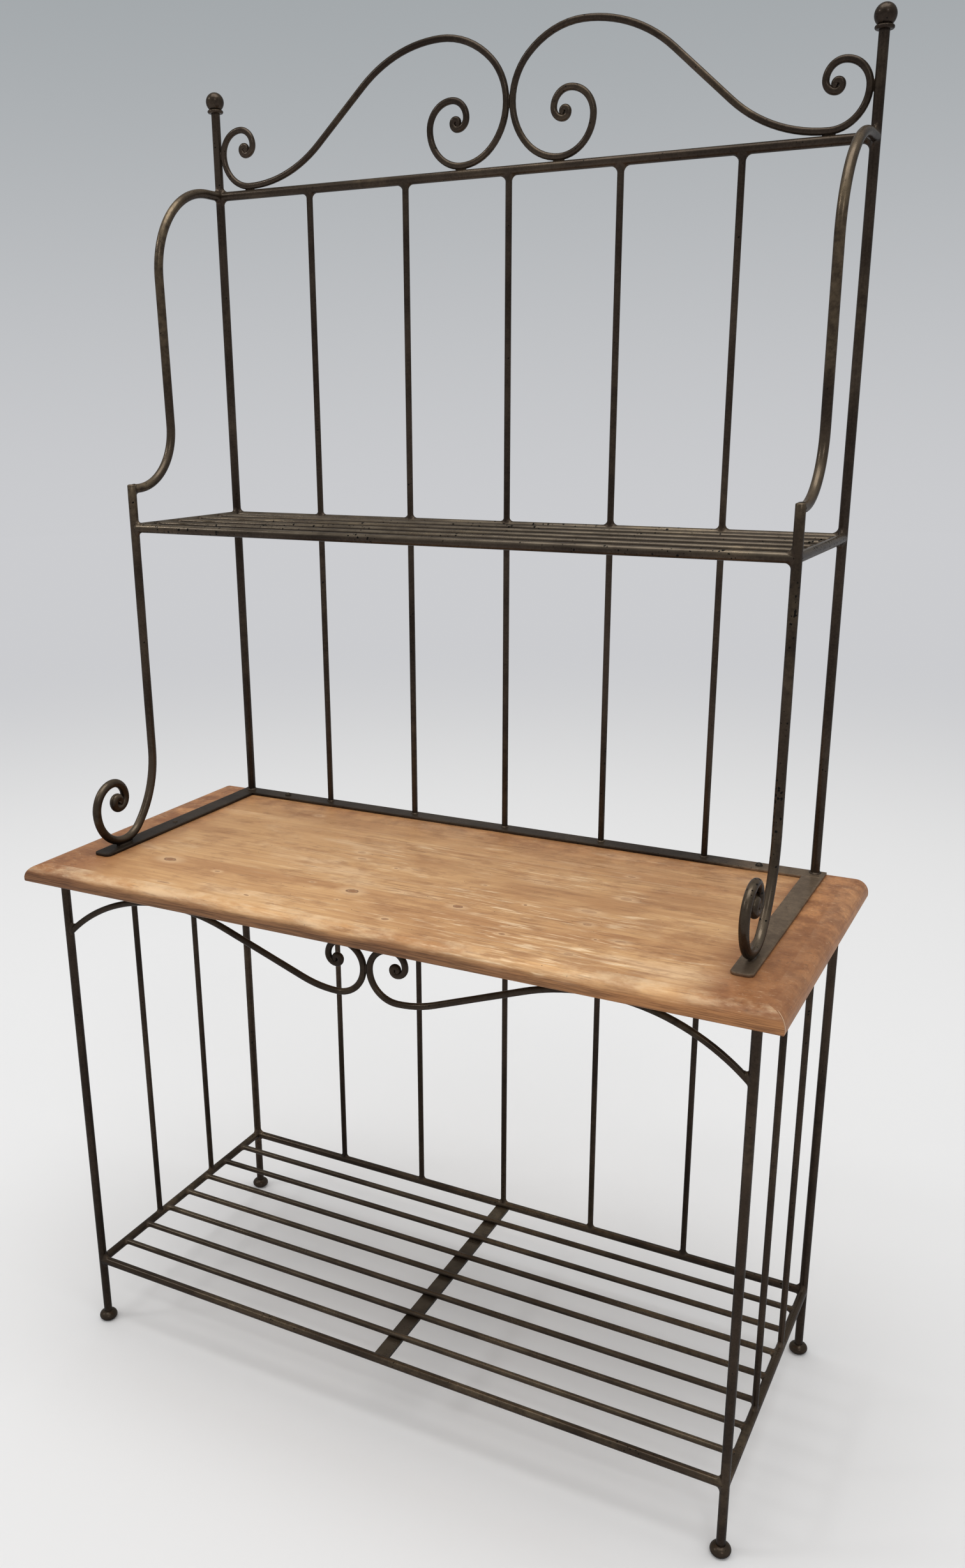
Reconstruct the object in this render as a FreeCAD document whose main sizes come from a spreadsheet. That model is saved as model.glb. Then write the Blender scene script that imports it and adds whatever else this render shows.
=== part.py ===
import FreeCAD, Part
import math
import os
import re

import Sketcher
from FreeCAD import Placement, Rotation, Vector

# Bakers rack: a welded round-bar base with a slatted shelf, a pine worktop and a scrolled
# hutch bolted on top.  Millimetres.  +X is to the right, +Y to the back, +Z up, and the
# origin is on the floor under the middle of the rack.

# Name, value and meaning of each size that can be set by itself.
DRIVING = (
    ("bar_diameter", 14, "round bar of the legs, uprights, posts, arms and rails"),
    ("rod_diameter", 10, "round rod of the slats, back rods and scrolls"),
    ("strap_width", 32, "flat strap that the hutch stands on"),
    ("light_strap_width", 25, "flat strap under the wood and under the lower shelf"),
    ("strap_thickness", 5, "flat strap of the hutch and of the lower shelf"),
    ("frame_thickness", 8, "flat strap under the wood"),
    ("weld_diameter", 8, "weld that bridges a scroll and what it touches"),
    ("weld_gap", 0.3, "gap that such a weld bridges"),
    ("cope_start", 3, "distance from a bar's axis at which the bar welded to it starts"),
    ("worktop_length", 1220, "wood, left to right"),
    ("worktop_depth", 526, "wood, front to back"),
    ("worktop_thickness", 26, "wood"),
    ("worktop_height", 875, "top of the wood above the floor"),
    ("edging_width", 32, "edge strip of the wood"),
    ("edging_round", 20, "round on the upper outer edge of the edge strip"),
    ("edging_arris", 3, "round on the lower outer edge of the edge strip"),
    ("end_overhang", 43, "ends of the wood to the legs' centres"),
    ("front_overhang", 44, "front edge of the wood to the front legs' centres"),
    ("rear_overhang", 8, "rear edge of the wood to the rear legs' centres"),
    ("foot_diameter", 31, "bun foot"),
    ("foot_height", 17, "bun foot"),
    ("foot_sole", 22, "flat under the bun foot, diameter"),
    ("foot_socket", 10, "depth to which the leg sits in the foot"),
    ("lower_shelf_height", 123, "centre of the lower rails above the floor"),
    ("apron_joint_height", 751, "where the apron scroll meets the leg, above the floor"),
    ("apron_arch_reach", 207, "leg's centre to the top of the apron's arch"),
    ("apron_loop", 45, "radius of the apron's lower loop"),
    ("apron_curl", 36, "radius at which the apron's curl starts"),
    ("hutch_end_gap", 80, "ends of the wood to the hutch uprights' centres"),
    ("hutch_depth", 276, "hutch post to upright, between centres"),
    ("hutch_inset", 13, "rear edge of the wood to the uprights' centres"),
    ("strap_inset", 2, "rear edge of the wood to the rear strap"),
    ("strap_reach", 145, "post's centre to the front tip of the side strap"),
    ("strap_tip_round", 9, "rounded corners of the side strap's tip"),
    ("upper_shelf_height", 1388, "centre of the upper shelf's rails above the floor"),
    ("post_height", 1456, "top of the front posts above the floor"),
    ("upright_height", 2029, "top of the uprights' bar above the floor"),
    ("upright_rise", 124, "uprights above the top rail's centre"),
    ("collar_diameter", 25.5, "finial's collar"),
    ("collar_height", 5.5, "finial's collar"),
    ("ball_diameter", 29, "finial's ball"),
    ("ball_sink", 3, "depth to which the ball sinks in its collar"),
    ("crest_height", 186, "crest's crown above the top rail, between centres"),
    ("crest_crown", 114, "middle of the rack to the crest's crown"),
    ("crest_loop_height", 80, "height of the crest's lower loop, from middle weld to rail weld"),
    ("crest_loop_reach", 75, "reach of that loop from the middle"),
    ("crest_inner_curl", 52.5, "radius at which the crest's inner curl starts"),
    ("crest_outer_curl", 49, "radius at which the crest's outer curl starts"),
    ("arm_setback", 101, "post's centre to the side arm's upper bend"),
    ("arm_lean", 8, "backward lean of the side arm between its bends"),
    ("arm_upper_bend", 136, "radius of the arm's upper bend"),
    ("arm_lower_bend", 93, "radius of the arm's lower bend"),
    ("post_bend_height", 133, "height of the bend at the post's foot"),
    ("post_bend_reach", 86, "forward reach of that bend"),
    ("post_curl", 59, "radius at which the post's scroll starts"),
    ("post_roll", 8, "radius of the post's axis in its rolled end"),
    ("rod_roll", 5.25, "radius of a scroll rod's axis in its rolled end"),
    ("rod_snub_diameter", 16, "rolled end of the rod scrolls"),
    ("post_snub_diameter", 24, "rolled end of the post's scroll"),
    ("snub_proud", 0.5, "rolled end stands this far out of the bar on each side"),
    ("snub_round", 2, "rounded rim of the rolled end"),
    ("bolt_setback", 86, "uprights' centres to the bolts through the rear strap"),
    ("bolt_diameter", 6, "bolt's shank"),
    ("bolt_clearance", 0.25, "gap round the bolt's shank"),
    ("bolt_head_diameter", 12, "round bolt head"),
    ("bolt_head_height", 5, "round bolt head"),
    ("bolt_end", 2, "bolt's end below its nut"),
    ("washer_diameter", 13, "washer under the nut"),
    ("washer_thickness", 1.2, "washer under the nut"),
    ("nut_width", 10, "nut, across its flats"),
    ("nut_height", 5, "nut"),
    ("screw_diameter", 4.5, "wood screw's shank"),
    ("screw_head_diameter", 9, "wood screw's head"),
    ("screw_head_height", 3, "wood screw's head"),
    ("screw_grip", 16, "length of a wood screw in the wood"),
    ("left_screw_setback", 46, "post to the left strap's screw"),
    ("right_screw_setback", 112, "post to the right strap's screw"),
)

# Name, formula and meaning of each place and size that follows from them.
DERIVED = (
    ("bar_radius", "=bar_diameter / 2", "round bar"),
    ("rod_radius", "=rod_diameter / 2", "round rod"),
    ("leg_spacing", "=worktop_length - 2 * end_overhang", "legs' centres, left to right"),
    ("leg_side", "=leg_spacing / 2", "legs' centres, from the middle"),
    ("leg_depth", "=worktop_depth - front_overhang - rear_overhang", "legs, front to back"),
    ("foot_overshoot", "=max(foot_diameter / 2 - rear_overhang; 0)", "foot behind the wood"),
    ("worktop_front", "=-(worktop_depth + foot_overshoot) / 2", "front edge of the wood"),
    ("worktop_rear", "=worktop_front + worktop_depth", "rear edge of the wood"),
    ("worktop_underside", "=worktop_height - worktop_thickness", "underside of the wood"),
    ("field_length", "=worktop_length - 2 * edging_width", "boards between the edge strips"),
    ("field_depth", "=worktop_depth - edging_width", "boards behind the front strip"),
    ("front_leg_line", "=worktop_front + front_overhang", "front legs' centres"),
    ("rear_leg_line", "=front_leg_line + leg_depth", "rear legs' centres"),
    ("frame_underside", "=worktop_underside - frame_thickness", "straps under the wood"),
    ("hutch_width", "=worktop_length - 2 * hutch_end_gap", "uprights, left to right"),
    ("hutch_side", "=hutch_width / 2", "uprights' and posts' centres, from the middle"),
    ("upright_line", "=worktop_rear - hutch_inset", "uprights' centres"),
    ("post_line", "=upright_line - hutch_depth", "posts' centres"),
    ("rod_lift", "=bar_radius - rod_radius", "shelf rods' centres above their rails'"),
    ("strap_top", "=worktop_height + strap_thickness", "top of the hutch's straps"),
    ("strap_rear", "=worktop_rear - strap_inset", "rear edge of the rear strap"),
    ("strap_front", "=post_line - strap_reach", "front tips of the side straps"),
    ("bolt_line", "=strap_rear - strap_width / 2", "bolts' centres, front to back"),
    ("bolt_side", "=hutch_side - bolt_setback", "bolts' centres, from the middle"),
    ("top_rail_height", "=upright_height - upright_rise", "top rail's centre"),
    ("arm_reach", "=hutch_depth - arm_setback", "upright to the side arm's upper bend"),
    ("arm_end_height", "=post_height - bar_radius", "arm's lower run"),
    ("scroll_offset", "=bar_radius + rod_radius + weld_gap", "scroll rod's axis to the bar's"),
    ("scroll_half_gap", "=rod_radius + weld_gap / 2", "scroll rod's axis to the middle plane"),
    ("apron_top", "=frame_underside - weld_gap - rod_radius", "apron's axis under the frame"),
    ("post_foot", "=strap_top + weld_gap + bar_radius", "post's axis over its strap"),
    ("collar_radius", "=collar_diameter / 2", "finial's collar"),
    ("ball_centre", "=upright_height + collar_height + ball_diameter / 2 - ball_sink", "ball"),
    ("snub_length", "=rod_diameter + 2 * snub_proud", "rolled end of a rod scroll"),
    ("post_snub_length", "=bar_diameter + 2 * snub_proud", "rolled end of the post's scroll"),
)

# Shape numbers without a unit.
CREST_STEEPNESS = 1.57      # steepest slope of the crest's sweep against its mean slope
CREST_LOWER_SHARE = 0.5     # lower bend's share of the sweep's two radii
CREST_TIGHTNESS = 1.75      # how soon a curl tightens: 1 is even, 2 is soon
APRON_STEEPNESS = 1.375
APRON_UPPER_SHARE = 0.65
APRON_TIGHTNESS = 1.9
POST_TIGHTNESS = 1.9

BOARDS = 4
BACK_RODS = 5
SIDE_RODS = 2
UPPER_SHELF_RODS = 4
LOWER_SHELF_RODS = 7
FRAME_SCREWS = 4            # in each long strap, midway between the back rods

NAMES = [name for name, value, meaning in DRIVING + DERIVED]

os.makedirs("parts", exist_ok=True)
doc = FreeCAD.newDocument("BakersRack")
sheet = doc.addObject("Spreadsheet::Sheet", "Sizes")
nodes = []


# ---------------------------------------------------------------- sheet and expressions

def fill_sheet():
    """Write every size, with its alias and meaning, on a row of the sheet."""
    for row, (name, value, meaning) in enumerate(DRIVING + DERIVED, start=1):
        sheet.set("A%d" % row, name)
        sheet.set("B%d" % row, str(value))
        sheet.setAlias("B%d" % row, name)
        sheet.set("C%d" % row, meaning)
    doc.recompute()


def size(name):
    """Value of one cell of the sheet."""
    return float(sheet.get(name))


def formula(text):
    """Expression in which each size's name stands for its cell."""
    def cell(word):
        return "Sizes." + word.group() if word.group() in NAMES else word.group()
    return re.sub(r"[a-z_]+", cell, str(text))


def place(piece, across, along, up, rotation=Rotation()):
    """Turn a piece, and bind its position to three expressions."""
    piece.Placement = Placement(Vector(), rotation)
    piece.setExpression("Placement.Base.x", formula(across))
    piece.setExpression("Placement.Base.y", formula(along))
    piece.setExpression("Placement.Base.z", formula(up))
    return piece


def node(label, piece):
    """Make a piece a sub-part of the rack under its own label."""
    piece.Label = label
    nodes.append(piece)
    return piece


# ---------------------------------------------------------------- primitives and booleans

AXIS_ROTATION = {
    "X": Rotation(Vector(0, 1, 0), 90),
    "Y": Rotation(Vector(1, 0, 0), -90),
    "Z": Rotation(),
}


def cylinder(name, axis, across, along, up, length, radius):
    """Round bar that starts at a point and runs along a row axis."""
    piece = doc.addObject("Part::Cylinder", name)
    piece.setExpression("Radius", formula(radius))
    piece.setExpression("Height", formula(length))
    return place(piece, across, along, up, AXIS_ROTATION[axis])


def compound(name, pieces):
    """Several solids kept apart in one object."""
    group = doc.addObject("Part::Compound", name)
    group.Links = pieces
    return group


def fused(name, pieces):
    """Several solids made into one."""
    union = doc.addObject("Part::MultiFuse", name)
    union.Shapes = pieces
    union.Refine = True
    return union


def cut(name, base, tools):
    """The base less each tool, one after the other."""
    for number, tool in enumerate(tools):
        trimmed = doc.addObject("Part::Cut", "%s_cut_%d" % (name, number))
        trimmed.Base = base
        trimmed.Tool = tool
        base = trimmed
    return base


def mirrored(name, source):
    """The other hand of a piece, across the rack's middle plane."""
    twin = doc.addObject("Part::Mirroring", name)
    twin.Source = source
    twin.Base = Vector()
    twin.Normal = Vector(1, 0, 0)
    return twin


# ---------------------------------------------------------------- sketched bodies

def origin_plane(body, role):
    """One of the body's own origin planes."""
    return [item for item in body.Origin.OriginFeatures if item.Role == role][0]


def plate(name, length, width, thickness, across, along, up, role="XY_Plane"):
    """Body with a rectangle drawn from its origin and padded upwards."""
    body = doc.addObject("PartDesign::Body", name)
    sketch = body.newObject("Sketcher::SketchObject", name + "_outline")
    sketch.AttachmentSupport = [(origin_plane(body, role), "")]
    sketch.MapMode = "FlatFace"
    corners = [Vector(0, 0, 0), Vector(10, 0, 0), Vector(10, 10, 0), Vector(0, 10, 0)]
    for first in range(4):
        sketch.addGeometry(Part.LineSegment(corners[first], corners[(first + 1) % 4]), False)
    for first in range(4):
        sketch.addConstraint(Sketcher.Constraint("Coincident", first, 2, (first + 1) % 4, 1))
    for horizontal in (0, 2):
        sketch.addConstraint(Sketcher.Constraint("Horizontal", horizontal))
    for vertical in (1, 3):
        sketch.addConstraint(Sketcher.Constraint("Vertical", vertical))
    sketch.addConstraint(Sketcher.Constraint("Coincident", 0, 1, -1, 1))
    run = sketch.addConstraint(Sketcher.Constraint("DistanceX", 0, 1, 0, 2, 10))
    rise = sketch.addConstraint(Sketcher.Constraint("DistanceY", 1, 1, 1, 2, 10))
    sketch.setExpression("Constraints[%d]" % run, formula(length))
    sketch.setExpression("Constraints[%d]" % rise, formula(width))
    pad = body.newObject("PartDesign::Pad", name + "_pad")
    pad.Profile = sketch
    pad.setExpression("Length", formula(thickness))
    place(body, across, along, up)
    doc.recompute()
    return body


def round_edges(body, radius, chosen):
    """Fillet the edges of the body's tip whose middle point passes a test."""
    tip = body.Tip
    names = []
    for number, edge in enumerate(tip.Shape.Edges, start=1):
        middle = edge.valueAt((edge.FirstParameter + edge.LastParameter) / 2)
        if chosen(middle):
            names.append("Edge%d" % number)
    fillet = body.newObject("PartDesign::Fillet", body.Name + "_round_" + radius)
    fillet.Base = (tip, names)
    fillet.setExpression("Radius", formula(radius))
    doc.recompute()
    return fillet


def near(value, target):
    """True where two coordinates are the same place."""
    return abs(value - target) < 0.01


# ---------------------------------------------------------------- routes of bent bars

def unit(angle):
    """Flat unit vector at an angle in degrees."""
    return Vector(math.cos(math.radians(angle)), math.sin(math.radians(angle)), 0)


class Route:
    """Flat chain of straight runs and tangent arcs, from a point and a heading."""

    def __init__(self, across, up, heading):
        self.start = Vector(across, up, 0)
        self.first_heading = heading
        self.point = self.start
        self.heading = heading
        self.edges = []

    def line(self, length):
        """Run straight on."""
        end = self.point + unit(self.heading) * length
        self.edges.append(Part.LineSegment(self.point, end).toShape())
        self.point = end
        return self

    def arc(self, radius, turn):
        """Bend by an angle, to the left where it is positive."""
        inward = math.copysign(90, turn)
        centre = self.point + unit(self.heading + inward) * radius
        middle = centre + unit(self.heading - inward + turn / 2) * radius
        end = centre + unit(self.heading - inward + turn) * radius
        self.edges.append(Part.Arc(self.point, middle, end).toShape())
        self.point = end
        self.heading += turn
        return self

    def curl(self, first, last, tightness, quarters, turn):
        """Quarter turns whose radius shrinks from the first to the last."""
        for number in range(quarters):
            left = 1 - number / (quarters - 1)
            self.arc(last + (first - last) * left ** tightness, turn)
        return self

    def sweep(self, run, rise, steepness, first_share):
        """Level S bend: an arc, a straight and an arc back, over a run and a rise."""
        slope = steepness * math.atan2(abs(rise), run)
        radii = (run * math.sin(slope) - abs(rise) * math.cos(slope)) / (1 - math.cos(slope))
        straight = ((1 + math.cos(slope)) * abs(rise) - run * math.sin(slope)) / math.sin(slope)
        turn = math.copysign(math.degrees(slope), rise)
        self.arc(first_share * radii, turn)
        self.line(straight)
        self.arc((1 - first_share) * radii, -turn)
        return self

    def quarter(self, ahead, aside, turn):
        """Quarter turn in two arcs, over a distance ahead and a distance aside."""
        difference = (ahead - aside) / (math.sqrt(2) - 1)
        second = aside - (1 - math.sqrt(0.5)) * difference
        self.arc(second + difference, turn / 2)
        self.arc(second, turn / 2)
        return self

    def inward(self, turn):
        """Unit vector to the inner side of a bend at the route's end."""
        return unit(self.heading + math.copysign(90, turn))


FRONT_VIEW = Rotation(Vector(1, 0, 0), 90)      # across is +X, up is +Z
SIDE_VIEW = Rotation(Vector(1, 1, 1), 120)      # across is +Y, up is +Z


def bent_bar(name, route, radius, frame):
    """Round bar swept along a route that lies in the plane of a placement."""
    spine = doc.addObject("Part::Feature", name + "_route")
    spine.Shape = Part.Wire(route.edges)
    spine.Placement = frame
    section = doc.addObject("Part::Circle", name + "_section")
    section.setExpression("Radius", formula(radius))
    turned = Rotation(Vector(0, 0, 1), unit(route.first_heading))
    section.Placement = frame.multiply(Placement(route.start, turned))
    bar = doc.addObject("Part::Sweep", name + "_bar")
    bar.Sections = [section]
    bar.Spine = (spine, [])
    bar.Solid = True
    bar.Frenet = True
    return bar


def snub(name, centre, radius, length, frame):
    """Rolled end of a scroll: a short round puck with rounded rims."""
    puck = doc.addObject("Part::Cylinder", name + "_puck")
    puck.Radius = radius
    puck.Height = length
    puck.Placement = frame.multiply(Placement(centre - Vector(0, 0, length / 2), Rotation()))
    doc.recompute()
    rims = [number for number, edge in enumerate(puck.Shape.Edges, start=1)
            if isinstance(edge.Curve, Part.Circle)]
    rolled = doc.addObject("Part::Fillet", name)
    rolled.Base = puck
    rolled.Edges = [(rim, size("snub_round"), size("snub_round")) for rim in rims]
    return rolled


def weld(name, axis, across, along, up, length):
    """Weld that bridges the small gap between a scroll and what it touches."""
    return cylinder(name, axis, across, along, up, length, "weld_diameter / 2")


# ---------------------------------------------------------------- base

SIDES = (("left", "-1"), ("right", "1"))
LEG_LINES = (("front", "front_leg_line"), ("rear", "rear_leg_line"))


def make_feet_and_legs():
    """Four bun feet, flat below and socketed above, and the legs that sit in them."""
    legs = {}
    for end, line in LEG_LINES:
        for side, sign in SIDES:
            name = "leg_%s_%s" % (end, side)
            leg = cylinder(name, "Z", sign + " * leg_side", line, "foot_height - foot_socket",
                           "frame_underside - foot_height + foot_socket", "bar_radius")
            legs[end, side] = node(name, leg)
            node("foot_%s_%s" % (end, side), make_foot(end, side, sign, line, leg))
    return legs


def make_foot(end, side, sign, line, leg):
    """Bun foot: an ellipsoid cut flat where it stands, with a socket for its leg."""
    name = "foot_%s_%s" % (end, side)
    bun = doc.addObject("Part::Ellipsoid", name + "_bun")
    # The flat is where the ellipse is as wide as the sole; drop is its depth below the centre.
    drop = "sqrt(1 - (foot_sole / foot_diameter) ^ 2)"
    bun.setExpression("Radius1", formula("foot_height / (1 + %s)" % drop))
    bun.setExpression("Radius2", formula("foot_diameter / 2"))
    bun.setExpression("Radius3", formula("foot_diameter / 2"))
    place(bun, sign + " * leg_side", line, "foot_height / (1 + %s) * %s" % (drop, drop))
    ground = doc.addObject("Part::Box", name + "_ground")
    for edge in ("Length", "Width", "Height"):
        ground.setExpression(edge, formula("foot_diameter"))
    place(ground, sign + " * leg_side - foot_diameter / 2", line + " - foot_diameter / 2",
          "-foot_diameter")
    return cut(name, bun, [ground, leg])


def make_lower_rails(legs):
    """Side rails between the legs, then the front and rear rails that meet them."""
    rails = {}
    for side, sign in SIDES:
        blank = cylinder("lower_rail_%s_blank" % side, "Y", sign + " * leg_side",
                         "front_leg_line + cope_start", "lower_shelf_height",
                         "leg_depth - 2 * cope_start", "bar_radius")
        mates = [legs["front", side], legs["rear", side]]
        rails[side] = node("lower_rail_" + side, cut("lower_rail_" + side, blank, mates))
    for end, line in LEG_LINES:
        blank = cylinder("lower_rail_%s_blank" % end, "X", "cope_start - leg_side", line,
                         "lower_shelf_height", "leg_spacing - 2 * cope_start", "bar_radius")
        mates = [legs[end, "left"], legs[end, "right"], rails["left"], rails["right"]]
        rails[end] = node("lower_rail_" + end, cut("lower_rail_" + end, blank, mates))
    return rails


def make_lower_shelf(rails):
    """Lengthwise rods between the side rails, on one flat strap across their middle."""
    rods = []
    pitch = "leg_depth / %d" % (LOWER_SHELF_RODS + 1)
    for number in range(1, LOWER_SHELF_RODS + 1):
        name = "lower_shelf_rod_%d" % number
        blank = cylinder(name, "X", "cope_start - leg_side",
                         "front_leg_line + %d * %s" % (number, pitch),
                         "lower_shelf_height + rod_lift",
                         "leg_spacing - 2 * cope_start", "rod_radius")
        rods.append(cut(name, blank, [rails["left"], rails["right"]]))
    node("lower_shelf_rods", compound("lower_shelf_rods", rods))
    strap = plate("lower_strap_blank", "light_strap_width", "leg_depth - 2 * cope_start",
                  "strap_thickness", "-light_strap_width / 2", "front_leg_line + cope_start",
                  "lower_shelf_height + rod_lift - rod_radius - strap_thickness")
    node("lower_shelf_strap", cut("lower_shelf_strap", strap, [rails["front"], rails["rear"]]))


def make_base_rods(rails):
    """Upright rods in the back and the sides, from the lower rails to the frame."""
    height = "frame_underside - lower_shelf_height - cope_start"
    start = "lower_shelf_height + cope_start"
    back = []
    for number in range(BACK_RODS):
        name = "base_back_rod_%d" % (number + 1)
        across = "%g * hutch_width / %d" % (number - (BACK_RODS - 1) / 2, BACK_RODS + 1)
        blank = cylinder(name, "Z", across, "rear_leg_line", start, height, "rod_radius")
        back.append(cut(name, blank, [rails["rear"]]))
    node("base_back_rods", compound("base_back_rods", back))
    for side, sign in SIDES:
        rods = []
        for number in range(1, SIDE_RODS + 1):
            name = "base_%s_rod_%d" % (side, number)
            along = "front_leg_line + %d * leg_depth / %d" % (number, SIDE_RODS + 1)
            blank = cylinder(name, "Z", sign + " * leg_side", along, start, height, "rod_radius")
            rods.append(cut(name, blank, [rails[side]]))
        node("base_%s_rods" % side, compound("base_%s_rods" % side, rods))


def make_apron(legs):
    """Front scrolls: an arch from each leg, a sweep down, and a loop that curls in."""
    frame = Placement(Vector(0, size("front_leg_line"), 0), FRONT_VIEW)
    top = size("apron_top")
    arch = size("apron_arch_reach") - size("leg_side")
    drop = top - size("apron_joint_height")
    reach = size("apron_arch_reach")
    bend = 2 * math.degrees(math.atan2(drop, reach))
    radius = (reach ** 2 + drop ** 2) / (2 * drop)
    contact = top - size("apron_curl")
    lowest = -size("scroll_half_gap") - size("apron_loop")
    route = Route(-size("leg_side"), size("apron_joint_height"), bend)
    route.arc(radius, -bend)
    route.sweep(lowest - arch, contact - size("apron_loop") - top, APRON_STEEPNESS,
                APRON_UPPER_SHARE)
    route.arc(size("apron_loop"), 90)
    route.curl(size("apron_curl"), size("rod_roll"), APRON_TIGHTNESS, 5, 90)
    bar = bent_bar("apron", route, "rod_radius", frame)
    inner = route.inward(90) * (size("rod_snub_diameter") / 2 - size("rod_radius"))
    eye = snub("apron_snub", route.point + inner, size("rod_snub_diameter") / 2,
               size("snub_length"), frame)
    welds = [
        weld("apron_arch_weld", "Z", "apron_arch_reach - leg_side", "front_leg_line",
             "apron_top", "frame_underside - apron_top"),
        weld("apron_curl_weld", "Z", "-scroll_half_gap - apron_curl", "front_leg_line",
             "apron_top", "frame_underside - apron_top"),
        weld("apron_centre_weld", "X", "-scroll_half_gap", "front_leg_line",
             "apron_top - apron_curl", "scroll_half_gap"),
    ]
    whole = fused("apron_whole", [bar, eye] + welds)
    left = node("apron_scroll_left", cut("apron_left", whole, [legs["front", "left"]]))
    node("apron_scroll_right", mirrored("apron_right", left))


def make_frame_straps():
    """Flat straps on top of the legs: front and rear ones, and side ones between them."""
    straps = {}
    long_run = "leg_spacing + 2 * bar_radius"
    short_run = "leg_depth + 2 * bar_radius - 2 * light_strap_width"
    starts = {"front": "front_leg_line - bar_radius",
              "rear": "rear_leg_line + bar_radius - light_strap_width"}
    for end, along in starts.items():
        straps[end] = plate("frame_%s" % end, long_run, "light_strap_width", "frame_thickness",
                            "-leg_side - bar_radius", along, "frame_underside")
    sides = {"left": "-leg_side - bar_radius",
             "right": "leg_side + bar_radius - light_strap_width"}
    for side, across in sides.items():
        straps[side] = plate("frame_%s" % side, "light_strap_width", short_run,
                             "frame_thickness", across,
                             "front_leg_line - bar_radius + light_strap_width",
                             "frame_underside")
    return straps


# ---------------------------------------------------------------- worktop

def make_edging(side):
    """Edge strip with a broad round above and a small one below, before its mitres."""
    # The outer edge is where x is 0 on the side strip, and where y is 0 on the front strip.
    if side == "front":
        length, width, outer = "worktop_length", "edging_width", 1
    else:
        length, width, outer = "edging_width", "worktop_depth", 0
    strip = plate("edging_%s_blank" % side, length, width, "worktop_thickness",
                  "-worktop_length / 2", "worktop_front", "worktop_underside")
    top = size("worktop_thickness")
    round_edges(strip, "edging_round",
                lambda point: near(point[outer], 0) and near(point.z, top))
    round_edges(strip, "edging_arris",
                lambda point: near(point[outer], 0) and near(point.z, 0))
    return strip


def make_worktop(fixings):
    """Boards lengthwise, with a front strip and two side strips mitred round them."""
    block = doc.addObject("Part::Box", "mitre_left")
    for edge in ("Length", "Width"):
        block.setExpression(edge, formula("2 * worktop_depth"))
    block.setExpression("Height", formula("worktop_thickness"))
    place(block, "-worktop_length / 2", "worktop_front", "worktop_underside",
          Rotation(Vector(0, 0, 1), 45))
    other = mirrored("mitre_right", block)
    front = cut("edging_front", make_edging("front"), [block, other])
    node("worktop_edging_front", front)
    left = doc.addObject("Part::Common", "edging_left")
    left.Base = make_edging("left")
    left.Tool = block
    node("worktop_edging_left", left)
    node("worktop_edging_right", mirrored("edging_right", left))
    for number in range(BOARDS):
        name = "worktop_board_%d" % (number + 1)
        width = "field_depth / %d" % BOARDS
        board = plate(name + "_blank", "field_length", width, "worktop_thickness",
                      "-field_length / 2",
                      "worktop_front + edging_width + %d * %s" % (number, width),
                      "worktop_underside")
        node(name, cut(name, board, fixings))


# ---------------------------------------------------------------- fixings

def make_bolts():
    """Two round-headed bolts through strap, wood and frame, with washers and nuts."""
    bolts, bores, nuts = [], [], []
    for side, sign in SIDES:
        across = sign + " * bolt_side"
        tail = "frame_underside - washer_thickness - nut_height - bolt_end"
        shank = cylinder("bolt_shank_" + side, "Z", across, "bolt_line", tail,
                         "strap_top - (%s)" % tail, "bolt_diameter / 2")
        bolts.append(fused("bolt_" + side, [shank, make_bolt_head(side, across)]))
        bores.append(cylinder("bolt_bore_" + side, "Z", across, "bolt_line", tail,
                              "strap_top - (%s)" % tail, "bolt_diameter / 2 + bolt_clearance"))
        nuts.append(make_nut(side, across, shank))
    node("hutch_bolts", compound("hutch_bolts", bolts))
    node("hutch_nuts_and_washers", compound("hutch_nuts", nuts))
    return compound("bolt_bores", bores)


def make_bolt_head(side, across):
    """Dome cut from a sphere that is as wide as the head where it meets the strap."""
    ball = doc.addObject("Part::Sphere", "bolt_ball_" + side)
    radius = "((bolt_head_diameter / 2) ^ 2 + bolt_head_height ^ 2) / (2 * bolt_head_height)"
    ball.setExpression("Radius", formula(radius))
    place(ball, across, "bolt_line", "strap_top + bolt_head_height - " + radius)
    room = cylinder("bolt_room_" + side, "Z", across, "bolt_line", "strap_top",
                    "2 * bolt_head_height", "bolt_head_diameter")
    head = doc.addObject("Part::Common", "bolt_head_" + side)
    head.Base = ball
    head.Tool = room
    return head


def make_nut(side, across, shank):
    """Washer and nut below the frame, as two solids."""
    washer = cylinder("washer_blank_" + side, "Z", across, "bolt_line",
                      "frame_underside - washer_thickness", "washer_thickness",
                      "washer_diameter / 2")
    prism = doc.addObject("Part::Prism", "nut_blank_" + side)
    prism.Polygon = 6
    prism.setExpression("Circumradius", formula("nut_width / sqrt(3)"))
    prism.setExpression("Height", formula("nut_height"))
    place(prism, across, "bolt_line", "frame_underside - washer_thickness - nut_height")
    pair = [cut("washer_" + side, washer, [shank]), cut("nut_" + side, prism, [shank])]
    return compound("nut_and_washer_" + side, pair)


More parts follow.
